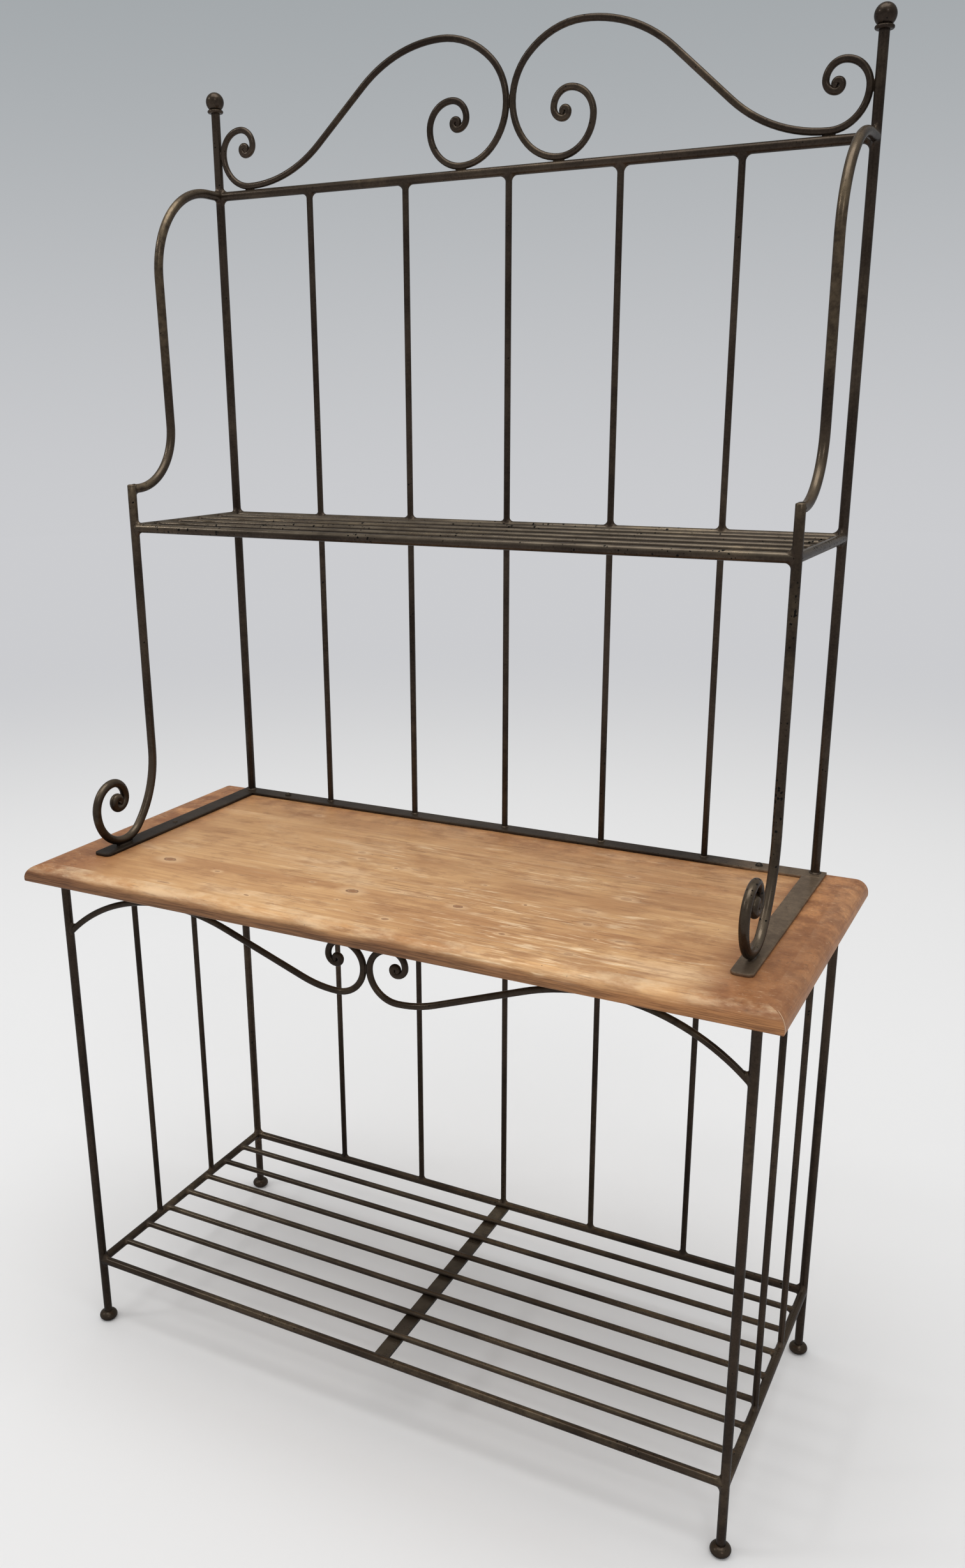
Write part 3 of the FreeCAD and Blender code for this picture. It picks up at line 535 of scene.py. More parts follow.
@dataclass(frozen=True)
class PineGrain:
    """Planed and waxed pine, with the grain along the first axis of its place."""

    sway: Pattern = Pattern((1.6, 5.0, 5.0), 2.0, 0.5)
    sway_reach: float = 0.025
    bands: Pattern = Pattern((1.5, 60.0, 60.0), 4.0, 0.70, Fade(0.34, 0.70))
    band_middle: float = 0.52
    least_contrast: float = 0.40
    clouds: Pattern = Pattern((4.0, 11.0, 11.0), 5.0, 0.62, Fade(0.46, 0.66, 0.66))
    cloud_gaps: Fade = Fade(0.45, 0.30, 0.60)
    lines: Pattern = Pattern((7.0, 270.0, 270.0), 3.0, 0.60, Fade(0.50, 0.67, 0.46))
    hairs: Pattern = Pattern((26.0, 950.0, 950.0), 2.0, 0.50, Fade(0.50, 0.72, 0.32))
    veil: Pattern = Pattern((6.0, 17.0, 17.0), 3.0, 0.6, Fade(0.40, 0.62))
    veil_limits: tuple[float, float] = (0.25, 1.0)
    veil_scrubbed: tuple[float, float] = (0.25, 0.90)
    ring_pitch: float = 60.0
    ring_turn: Pattern = Pattern((1.4, 4.0, 4.0), 1.0, 0.5)
    ring_turns: float = 9.0
    ring_rise: Fade = Fade(0.62, 0.95, 0.20)
    ring_fall: Fade = Fade(1.0, 0.96)
    ring_places: Pattern = Pattern((2.2, 6.0, 6.0), 2.0, 0.5, Fade(0.44, 0.58))
    dark_runs: Pattern = Pattern((16.0, 150.0, 150.0), 4.0, 0.65, Fade(0.50, 0.64, 0.66))
    dark_places: Pattern = Pattern((5.5, 14.0, 14.0), 3.0, 0.6, Fade(0.44, 0.62))
    worn_runs: Pattern = Pattern((18.0, 190.0, 190.0), 3.0, 0.6, Fade(0.53, 0.68))
    worn_places: Pattern = Pattern((5.0, 13.0, 13.0), 3.0, 0.6, Fade(0.46, 0.60))
    wear_depth: float = 0.74
    smudges: Pattern = Pattern((15.0, 27.0, 27.0), 4.0, 0.65, Fade(0.50, 0.70, 0.50))
    ducts: Pattern = Pattern((24.0, 520.0, 520.0), 1.0, 0.5, Fade(0.64, 0.72))
    duct_places: Fade = Fade(0.42, 0.58)
    duct_depth: float = 0.65
    hole_pitch: float = 52.0
    hole_share: Fade = Fade(0.93, 0.95)
    hole_edge: Fade = Fade(0.052, 0.030)
    hole_depth: float = 0.85
    line_height: float = 0.50
    hair_height: float = 0.22
    dent_height: float = 0.6

    def group(self) -> bpy.types.NodeTree:
        """Build the shared group.

        Returns:
            A group that puts out Color, Height and Wear.
        """
        shared = SharedGroup(
            "pine_grain",
            {"Place": Kind.VECTOR, "Tone": Kind.NUMBER, "Scrubbed": Kind.NUMBER},
            {"Color": Kind.COLOUR, "Height": Kind.NUMBER, "Wear": Kind.NUMBER},
        )
        g, place, scrubbed = shared.graph, shared.given["Place"], shared.given["Scrubbed"]
        path = g.vector("ADD", place, g.joined(along=g.ragged(place, self.sway, self.sway_reach)))
        lines, hairs = g.noise(path, self.lines), g.noise(path, self.hairs)
        smudges = g.noise(place, self.smudges)
        veil = g.span(g.mask(place, self.veil), *self.veil_limits)
        veil = g.times(veil, g.span(scrubbed, *self.veil_scrubbed))
        colour = self.ground(g, place, path, scrubbed)
        colour = g.tint(colour, PINE.line, g.fade(lines, self.lines.fade), veil)
        colour = g.tint(colour, PINE.line, g.fade(hairs, self.hairs.fade), veil)
        colour = g.tint(colour, PINE.line, self.rings(g, place, path))
        dark = g.times(g.mask(path, self.dark_runs), g.mask(place, self.dark_places), scrubbed)
        colour = g.tint(colour, PINE.line, dark)
        wear = g.times(g.mask(path, self.worn_runs), g.mask(place, self.worn_places), scrubbed)
        colour = g.tint(colour, PINE.scrubbed, wear, self.wear_depth)
        ducts = g.times(g.mask(path, self.ducts), g.fade(smudges, self.duct_places))
        colour = g.tint(colour, PINE.duct, ducts, self.duct_depth)
        colour = g.tint(colour, PINE.smudge, g.fade(smudges, self.smudges.fade))
        cells = g.cells(place, self.hole_pitch, voronoi_dimensions="2D")
        chosen = g.fade(g.parts(cells["Color"])[0], self.hole_share)
        holes = g.times(g.fade(cells["Distance"], self.hole_edge), chosen)
        colour = g.tint(colour, PINE.duct, holes, self.hole_depth)
        shade = g.add("ShaderNodeHueSaturation")
        g.feed(shade.inputs["Value"], shared.given["Tone"])
        g.feed(shade.inputs["Color"], colour)
        rise = g.math("ADD", g.times(lines, self.line_height), g.times(hairs, self.hair_height))
        dents = g.times(g.most(ducts, holes), self.dent_height)
        return shared.put_out(Color=shade.outputs["Color"], Height=g.math("SUBTRACT", rise, dents), Wear=wear)

    def ground(self, g: Graph, place: Socket, path: Socket, scrubbed: Socket) -> Socket:
        """Broad bands and clouds of colour.

        Args:
            g: the group's graph.
            place: place on the board.
            path: place that sways with the grain.
            scrubbed: how bare the wood is worn.

        Returns:
            The ground colour.
        """
        bands = g.math("SUBTRACT", g.noise(path, self.bands), self.band_middle)
        bands = g.math("MULTIPLY_ADD", bands, g.span(scrubbed, self.least_contrast, 1.0), self.band_middle)
        clouds = g.noise(place, self.clouds)
        colour = g.mix(g.fade(bands, self.bands.fade), PINE.autumn, PINE.spring)
        colour = g.tint(colour, PINE.cloud, g.fade(clouds, self.clouds.fade))
        return g.tint(colour, PINE.pale, g.fade(clouds, self.cloud_gaps))

    def rings(self, g: Graph, place: Socket, path: Socket) -> Socket:
        """Cathedral figure, where growth rings run out of the board.

        Args:
            g: the group's graph.
            place: place on the board.
            path: place that sways with the grain.

        Returns:
            A mask of the rings.
        """
        turn = g.times(g.noise(place, self.ring_turn), self.ring_turns)
        figure = g.math("FRACT", g.math("MULTIPLY_ADD", g.parts(path)[1], self.ring_pitch, turn))
        ring = g.times(g.fade(figure, self.ring_rise), g.fade(figure, self.ring_fall))
        return g.times(ring, g.mask(place, self.ring_places))


@dataclass(frozen=True)
class StrapStainAndHutchShadow:
    """Darker, redder wood beside the straps, along the back, in patches at the right and at the ends, and a
    painted shadow of the hutch that reaches far in from the back.
    """

    edge: Pattern = Pattern(13.0, 4.0, 0.65)
    edge_reach: float = 0.06
    beside: Fade = Fade(0.060, 0.008, 0.62)
    behind: Fade = Fade(0.105, 0.005, 0.62)
    # Painted shadow of the hutch: a faint darkening from the back edge into the middle of the worktop.
    hutch_shadow: Fade = Fade(0.36, 0.08, 0.17)
    hutch_shadow_edge: float = 1.6
    patches: Pattern = Pattern((8.0, 15.0, 15.0), 5.0, 0.65, Fade(0.47, 0.60, 0.55))
    rightward: Fade = Fade(0.16, 0.50)
    ends: Fade = Fade(0.455, 0.535)
    ends_edge: float = 0.6

    def group(self) -> bpy.types.NodeTree:
        """Build the shared group.

        Returns:
            A group that puts out a Mask.
        """
        shared = SharedGroup(
            "stain_and_hutch_shadow",
            {"Position": Kind.VECTOR, "Strap Line": Kind.NUMBER, "Back Line": Kind.NUMBER},
            {"Mask": Kind.NUMBER},
        )
        g, given = shared.graph, shared.given
        across, along, _ = g.parts(given["Position"])
        outward = g.math("ABSOLUTE", across)
        side = g.math("ABSOLUTE", g.math("SUBTRACT", outward, given["Strap Line"]))
        back = g.math("SUBTRACT", given["Back Line"], along)
        ragged = g.ragged(given["Position"], self.edge, self.edge_reach)
        return shared.put_out(Mask=g.most(
            g.fade(g.math("ADD", side, ragged), self.beside),
            g.fade(g.math("ADD", back, ragged), self.behind),
            # painted shadow of the hutch, reaching far in from the back
            g.fade(g.math("MULTIPLY_ADD", ragged, self.hutch_shadow_edge, back), self.hutch_shadow),
            g.times(g.mask(given["Position"], self.patches), g.fade(across, self.rightward)),
            g.fade(g.math("MULTIPLY_ADD", ragged, self.ends_edge, outward), self.ends),
        ))


SHARED: dict[str, bpy.types.NodeTree] = {
    "patina": Patina().group(),
    "pitting": Pitting().group(),
    "knot": KnotMark().group(),
    "pine_grain": PineGrain().group(),
    "stain_and_hutch_shadow": StrapStainAndHutchShadow().group(),
}


# ---------------------------------------------------------------- finishes

@dataclass(frozen=True)
class SteelFinish:
    """Lacquered steel: a dark coat, lighter on faces that point up from wear and painted top light, with
    brassy places that are partly worn and partly a painted highlight, and pits.
    """

    name: str
    dark: Colour = (0.018, 0.0120, 0.0088)
    light: Colour = (0.055, 0.040, 0.029)
    rubbed_and_top_lit: Colour = (0.118, 0.088, 0.061)
    brass: Colour = (0.300, 0.222, 0.132)
    pit: Colour = (0.003, 0.0025, 0.002)
    rub: float = 0.55
    brassiness: float = 0.30
    least_brass: float = 0.20
    pitting: float = 1.0
    metallic: float = 0.62
    lacquer: float = 0.12
    lacquer_roughness: float = 0.17
    specular: float = 0.30
    specular_tint: Colour = (0.22, 0.19, 0.16)
    roughness: float = 0.29
    dark_rougher: float = 0.07
    light_smoother: float = 0.05
    pit_rougher: float = 0.35
    bump: float = 0.09
    relief: float = 0.0008

    def material(self) -> bpy.types.Material:
        """Build the finish's material.

        Returns:
            The new material.
        """
        surface = Surface(self.name)
        g, position = surface.graph, surface.position
        patina = g.group(SHARED["patina"], Position=position)
        pits = g.group(SHARED["pitting"], Position=position, Amount=self.pitting)["Mask"]
        # Lighter colour and brass on faces that point up: partly wear, partly painted top light and
        # highlight.
        worn = g.span(patina["Rub"], self.least_brass, 1.0)
        colour = g.tint(self.coat(g, position, patina["Tone"]), self.rubbed_and_top_lit, patina["Rub"], self.rub)
        colour = g.tint(colour, self.brass, patina["Brass"], self.brassiness, worn)
        dark_rough, light_rough = self.roughness + self.dark_rougher, self.roughness - self.light_smoother
        rough = g.span(patina["Tone"], dark_rough, light_rough)
        height = g.math("SUBTRACT", patina["Height"], pits)
        return surface.feed_shader({
            "Base Color": g.tint(colour, self.pit, pits),
            "Roughness": g.math("MULTIPLY_ADD", pits, self.pit_rougher, rough),
            "Normal": surface.bump(height, self.bump, self.relief),
            "Metallic": self.metallic,
            "Specular IOR Level": self.specular,
            "Specular Tint": self.specular_tint,
            "Coat Weight": self.lacquer,
            "Coat Roughness": self.lacquer_roughness,
        })

    def coat(self, g: Graph, position: Socket, tone: Socket) -> Socket:
        """Colour of the unworn coat.

        Args:
            g: the material's graph.
            position: place on the rack; not used here.
            tone: the patina's tone.

        Returns:
            The coat's colour.
        """
        return g.mix(tone, self.dark, self.light)


@dataclass(frozen=True)
class StrapFinish(SteelFinish):
    """Steel of the flat straps, worn to bare grey metal toward the right and darker at the front tips."""

    bare: Colour = (0.310, 0.226, 0.152)
    bare_dark: Colour = (0.125, 0.088, 0.060)
    edge: Pattern = Pattern(40.0, 4.0, 0.65)
    edge_reach: float = 0.05
    wearing: Fade = Fade(0.36, 0.45)
    tip: Fade = Fade(-0.115, -0.150, 0.48)
    blotches: Pattern = Pattern(95.0, 4.0, 0.65, Fade(0.40, 0.62, 0.35))
    tone_share: float = 0.65

    def coat(self, g: Graph, position: Socket, tone: Socket) -> Socket:
        """Colour of the coat, which fades into bare metal.

        Args:
            g: the material's graph.
            position: place on the rack.
            tone: the patina's tone.

        Returns:
            The coat's colour.
        """
        across, along, _ = g.parts(position)
        ragged = g.ragged(position, self.edge, self.edge_reach)
        blotched = g.math("MULTIPLY_ADD", tone, self.tone_share, g.mask(position, self.blotches))
        bare = g.mix(blotched, self.bare_dark, self.bare)
        bare = g.tint(bare, self.bare_dark, g.fade(g.math("ADD", along, ragged), self.tip))
        worn = g.fade(g.math("ADD", across, ragged), self.wearing)
        return g.tint(super().coat(g, position, tone), bare, worn)


class Steel(Enum):
    """Finishes that the steel has from part to part."""

    BRONZE = SteelFinish("bronze_steel")
    # Larger shares of the lighter top colour and of brass below also give more painted top light and
    # highlight.
    WORN = SteelFinish("worn_steel", dark=(0.016, 0.0105, 0.0074), light=(0.058, 0.041, 0.028),
                       rubbed_and_top_lit=(0.200, 0.152, 0.104), brassiness=0.90, rub=0.85, pitting=0.9, bump=0.15)
    PITTED = SteelFinish("pitted_steel", dark=(0.013, 0.0085, 0.0060), light=(0.047, 0.033, 0.0225),
                         rubbed_and_top_lit=(0.200, 0.152, 0.104), brassiness=0.55, rub=0.85, pitting=2.6, bump=0.16)
    SHELF = SteelFinish("shelf_steel", rubbed_and_top_lit=(0.185, 0.148, 0.106), brassiness=0.4, rub=0.85, pitting=1.9)
    SLAT = SteelFinish("slat_steel", dark=(0.014, 0.0090, 0.0062), light=(0.046, 0.0315, 0.0215),
                       rubbed_and_top_lit=(0.130, 0.101, 0.071), brassiness=0.28, rub=0.70, pitting=0.35)
    BASE = SteelFinish("base_steel", dark=(0.012, 0.0075, 0.0050), light=(0.040, 0.0270, 0.0185),
                       rubbed_and_top_lit=(0.105, 0.078, 0.054))
    STRAP = StrapFinish("strap_steel", rubbed_and_top_lit=(0.150, 0.112, 0.080), light=(0.062, 0.045, 0.032), rub=0.35,
                        brassiness=0.10, roughness=0.38, pitting=0.9, bump=0.24, lacquer=0.08)
    WELD = SteelFinish("weld_steel", light=(0.056, 0.039, 0.028), pitting=0.6, roughness=0.38, bump=0.20)
    FIXING = SteelFinish("fixing_steel", dark=(0.013, 0.010, 0.008), light=(0.036, 0.028, 0.021), rub=0.3,
                         pitting=0.0, roughness=0.36, brassiness=0.1)


Steels = dict[Steel, bpy.types.Material]


class Grain(Enum):
    """Direction in which the wood's grain runs."""

    LENGTHWISE = "along the rack"
    CROSSWISE = "front to back"


@dataclass(frozen=True)
class Knot:
    """Knot in a board: its centre on the worktop and its half sizes."""

    across: float
    along: float
    length: float = 0.007
    width: float = 0.0045
    strength: float = 1.0


@dataclass(frozen=True)
class EdgeSoil:
    """Soiled foot and worn band of a rounded edge, by height above its underside, and its mitres' glue."""

    soiling: float
    wear: float
    underside: float = 0.849
    ragged: Pattern = Pattern((12.0, 12.0, 130.0), 5.0, 0.70)
    ragged_reach: float = 0.007
    foot: Fade = Fade(0.0240, 0.0110, 0.93)
    lines: Pattern = Pattern((16.0, 16.0, 560.0), 4.0, 0.65, Fade(0.40, 0.62))
    rightward: Fade = Fade(0.05, 0.52)
    rightward_edge: float = 14.0
    band_start: Fade = Fade(0.0150, 0.0220)
    band_end: Fade = Fade(0.0290, 0.0255)
    band_places: Pattern = Pattern((11.0, 11.0, 60.0), 5.0, 0.68, Fade(0.36, 0.62))
    half_length: float = 0.610
    front_line: float = 0.26275
    mitre: Fade = Fade(0.0011, 0.0006, 0.75)
    mitre_run: Fade = Fade(0.016, 0.010)

    def lay(self, g: Graph, position: Socket, colour: Socket) -> Socket:
        """Lay the soil, wear and glue over clean wood.

        Args:
            g: the material's graph.
            position: place on the rack.
            colour: the clean wood's colour.

        Returns:
            The soiled colour.
        """
        across, along, up = g.parts(position)
        ragged = g.ragged(position, self.ragged, self.ragged_reach)
        level = g.math("ADD", g.math("SUBTRACT", up, self.underside), ragged)
        rightward = g.fade(g.math("MULTIPLY_ADD", ragged, self.rightward_edge, across), self.rightward)
        light = g.mix(rightward, PINE.left_soil, PINE.right_soil)
        dark = g.mix(rightward, PINE.left_soil_dark, PINE.right_soil_dark)
        band = g.times(g.fade(level, self.band_start), g.fade(level, self.band_end))
        colour = g.tint(colour, PINE.worn_edge, band, g.mask(position, self.band_places), self.wear)
        soil = g.mix(g.mask(position, self.lines), light, dark)
        colour = g.tint(colour, soil, g.fade(level, self.foot), self.soiling)
        inset = g.math("SUBTRACT", self.half_length, g.math("ABSOLUTE", across))
        skew = g.math("ABSOLUTE", g.math("SUBTRACT", inset, g.math("ADD", along, self.front_line)))
        return g.tint(colour, PINE.glue, g.fade(skew, self.mitre), g.fade(inset, self.mitre_run))


@dataclass(frozen=True)
class PineFinish:
    """Waxed honey pine of one board or edge strip."""

    name: str
    grain: Grain = Grain.LENGTHWISE
    shift: tuple[float, float, float] = (0.0, 0.0, 0.0)
    tone: float = 1.0
    knots: tuple[Knot, ...] = ()
    edge: Optional[EdgeSoil] = None
    top: float = 0.875
    strap_line: float = 0.530
    back_line: float = 0.225
    scrubbing: Fade = Fade(-0.36, 0.10)
    least_scrubbing: float = 0.20
    halo_depth: float = 0.38
    core_depth: float = 0.85
    rim_depth: float = 0.74
    stain_and_shadow_depth: float = 0.90
    blotches: Pattern = Pattern((26.0, 26.0, 26.0), 6.0, 0.68, Fade(0.36, 0.64))
    specks: Pattern = Pattern((150.0, 110.0, 150.0), 4.0, 0.70, Fade(0.54, 0.66, 0.62))
    flecks: Pattern = Pattern((75.0, 210.0, 210.0), 3.0, 0.65, Fade(0.60, 0.70, 0.34))
    handling: Fade = Fade(0.15, -0.03, 0.50)
    handling_edge: float = 0.05
    scuffs: Pattern = Pattern((70.0, 330.0, 330.0), 4.0, 0.65)
    scuff_places: Pattern = Pattern(34.0, 3.0, 0.6, Fade(0.40, 0.60))
    gouges: Fade = Fade(0.58, 0.68)
    gouge_depth: float = 0.66
    splinters: Fade = Fade(0.37, 0.30, 0.46)
    dent_height: float = 0.5
    roughness: float = 0.48
    worn_roughness: float = 0.60
    specular: float = 0.25
    bump: float = 0.30
    relief: float = 0.0007

    def material(self) -> bpy.types.Material:
        """Build the finish's material.

        Returns:
            The new material.
        """
        surface = Surface(self.name)
        g, position = surface.graph, surface.position
        across, along, up = g.parts(position)
        place = g.joined(along, across, up) if self.grain is Grain.CROSSWISE else position
        core, rim, halo, push = self.lay_knots(g, position)
        place = g.vector("ADD", g.vector("ADD", place, g.joined(along=push)), self.shift)
        scrubbed = g.span(g.fade(across, self.scrubbing), self.least_scrubbing, 1.0)
        wood = g.group(SHARED["pine_grain"], Place=place, Tone=self.tone, Scrubbed=scrubbed)
        colour = g.tint(wood["Color"], PINE.halo, halo, self.halo_depth)
        colour = g.tint(colour, PINE.knot, core, self.core_depth)
        colour = g.tint(colour, PINE.knot_rim, rim, self.rim_depth)
        # Staining beside the straps, along the back and at the ends, plus the painted shadow of the hutch,
        # all tinted toward the stained red.
        stain_and_shadow = g.group(SHARED["stain_and_hutch_shadow"], Position=position, Strap_Line=self.strap_line,
                        Back_Line=self.back_line)["Mask"]
        colour = g.tint(colour, self.stained(g, position, along), stain_and_shadow, self.stain_and_shadow_depth)
        scuffs, here = g.noise(position, self.scuffs), g.times(stain_and_shadow, g.mask(position, self.scuff_places))
        gouges = g.times(g.fade(scuffs, self.gouges), here)
        colour = g.tint(colour, PINE.duct, gouges, self.gouge_depth)
        colour = g.tint(colour, PINE.scrubbed, g.fade(scuffs, self.splinters), here)
        dents = g.times(g.math("ADD", rim, gouges), self.dent_height)
        return surface.feed_shader({
            "Base Color": self.edge.lay(g, position, colour) if self.edge else colour,
            "Roughness": g.span(wood["Wear"], self.roughness, self.worn_roughness),
            "Normal": surface.bump(g.math("SUBTRACT", wood["Height"], dents), self.bump, self.relief),
            "Specular IOR Level": self.specular,
        })

    def lay_knots(self, g: Graph, position: Socket) -> tuple[Value, Value, Value, Value]:
        """Place this board's knots.

        Args:
            g: the material's graph.
            position: place on the rack.

        Returns:
            Core, rim and halo masks, and the push on the grain.
        """
        core: Value = 0.0
        rim: Value = 0.0
        halo: Value = 0.0
        push: Value = 0.0
        for knot in self.knots:
            mark = g.group(SHARED["knot"], Position=position, Centre=(knot.across, knot.along, self.top),
                           Spread=(1.0 / knot.length, 1.0 / knot.width, 0.0))
            core = g.most(g.times(mark["Core"], knot.strength), core)
            rim = g.most(g.times(mark["Rim"], knot.strength), rim)
            halo = g.most(mark["Halo"], halo)
            push = g.math("ADD", mark["Push"], push)
        return core, rim, halo, push

    def stained(self, g: Graph, position: Socket, along: Socket) -> Socket:
        """Red of the stained wood, in blotches and darker toward the front; the painted shadow of the hutch
        is tinted toward it too.

        Args:
            g: the material's graph.
            position: place on the rack.
            along: place from front to back.

        Returns:
            The stained wood's colour.
        """
        blotch = g.mask(position, self.blotches)
        red = g.mix(blotch, PINE.red_dark, PINE.red)
        red = g.tint(red, PINE.line, g.mask(position, self.specks))
        red = g.tint(red, PINE.pale, g.mask(position, self.flecks))
        line = g.math("ADD", along, g.span(blotch, -self.handling_edge, self.handling_edge))
        return g.tint(red, PINE.red_dark, g.fade(line, self.handling))


@dataclass(frozen=True)
class BackdropFinish:
    """Pale floor that fades into the same pale colour as the room's light."""

    name: str
    horizon: Colour
    colour: Colour = (0.735, 0.735, 0.735)
    roughness: float = 0.85
    specular: float = 0.1
    distance: Fade = Fade(2.6, 7.0)

    def material(self) -> bpy.types.Material:
        """Build the floor's material.

        Returns:
            The new material.
        """
        surface = Surface(self.name)
        g, nodes = surface.graph, surface.nodes
        glow, blend = g.add("ShaderNodeEmission"), g.add("ShaderNodeMixShader")
        g.feed(glow.inputs["Color"], self.horizon)
        far = g.fade(g.vector("LENGTH", surface.position), self.distance)
        for socket, value in zip(blend.inputs, (far, nodes["Principled BSDF"].outputs[0], glow.outputs[0])):
            g.feed(socket, value)
        g.feed(nodes["Material Output"].inputs["Surface"], blend.outputs[0])
        return surface.feed_shader({
            "Base Color": self.colour,
            "Roughness": self.roughness,
            "Specular IOR Level": self.specular,
        })


# ---------------------------------------------------------------- meshes

class Side(Enum):
    """Side of the rack, with its sign across."""

    LEFT = -1
    RIGHT = 1

    @property
    def label(self) -> str:
        """The side as node names have it."""
        return self.name.lower()


def add_piece(name: str, bm: bmesh.types.BMesh, material: bpy.types.Material) -> bpy.types.Object:
    """Turn a built shape into a smooth-shaded piece of the rack that rides on its only body.

    Args:
        name: the piece's name.
        bm: the closed shape, which is turned outward, creased at its sharp edges and freed.
        material: its finish.

    Returns:
        The new object.
    """
    bmesh.ops.recalc_face_normals(bm, faces=bm.faces)
    for edge in bm.edges:
        edge.smooth = edge.calc_face_angle(0.0) < CREASE
    for face in bm.faces:
        face.smooth = True
    mesh = bpy.data.meshes.new(name)
    bm.to_mesh(mesh)
    bm.free()
    mesh.materials.append(material)
    piece = bpy.data.objects.new(name, mesh)
    bpy.context.scene.collection.objects.link(piece)
    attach(piece, BODY)
    LOG.info("%s: %d faces", name, len(mesh.polygons))
    return piece


def skin(bm: bmesh.types.BMesh, rings: Sequence[Sequence[Vector]], closed: bool = False) -> None:
    """Join rings of points into a tube.

    Args:
        bm: where the faces go.
        rings: rings with the same number of points.
        closed: whether the last ring joins the first, or both ends get a face each.
    """
    made = [[bm.verts.new(point) for point in ring] for ring in rings]
    pairs = list(zip(made, made[1:]))
    if closed:
        pairs.append((made[-1], made[0]))
    for first, second in pairs:
        for i in range(len(first)):
            j = (i + 1) % len(first)
            bm.faces.new((first[i], first[j], second[j], second[i]))
    if not closed:
        bm.faces.new(made[0][::-1])
        bm.faces.new(made[-1])


def dress(nodes: Iterable[str], material: bpy.types.Material) -> None:
    """Give the frame's own nodes a finish.

    Args:
        nodes: node names.
        material: the finish.
    """
    for name in nodes:
        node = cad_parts[name]
        node.data.materials.clear()
        node.data.materials.append(material)
        LOG.info("%s: %s", name, material.name)


def named(*starts: str) -> list[str]:
    """Frame nodes whose names start in one of some ways."""
    return [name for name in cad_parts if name.startswith(starts)]


def centre(node: str) -> Vector:
    """Middle of a node's box."""
    low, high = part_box(node)
    return (low + high) / 2


def unit(angle: float) -> Vector:
    """Flat unit vector at an angle in degrees."""
    return Vector((math.cos(math.radians(angle)), math.sin(math.radians(angle))))


def draw_phases(draw: random.Random, count: int) -> list[float]:
    """Random phases, in radians, for some waves."""
    return [draw.uniform(0, LARGEST_PHASE) for _ in range(count)]


def ripple(place: float, waves: Waves, phases: Sequence[float]) -> float:
    """Height of some waves, each with its depth and pitch, at a place."""
    return sum(depth * math.sin(pitch * place + phase) for (depth, pitch), phase in zip(waves, phases))


def spokes(first: Vector, second: Vector, count: int) -> list[tuple[float, Vector]]:
    """Even directions round an axis.

    Args:
        first: direction at the start.
        second: direction a quarter turn on.
        count: number of directions.

    Returns:
        Each direction after its angle in radians.
    """
    angles = [2 * math.pi * number / count for number in range(count)]
    return [(angle, first * math.cos(angle) + second * math.sin(angle)) for angle in angles]


# ---------------------------------------------------------------- bent bars

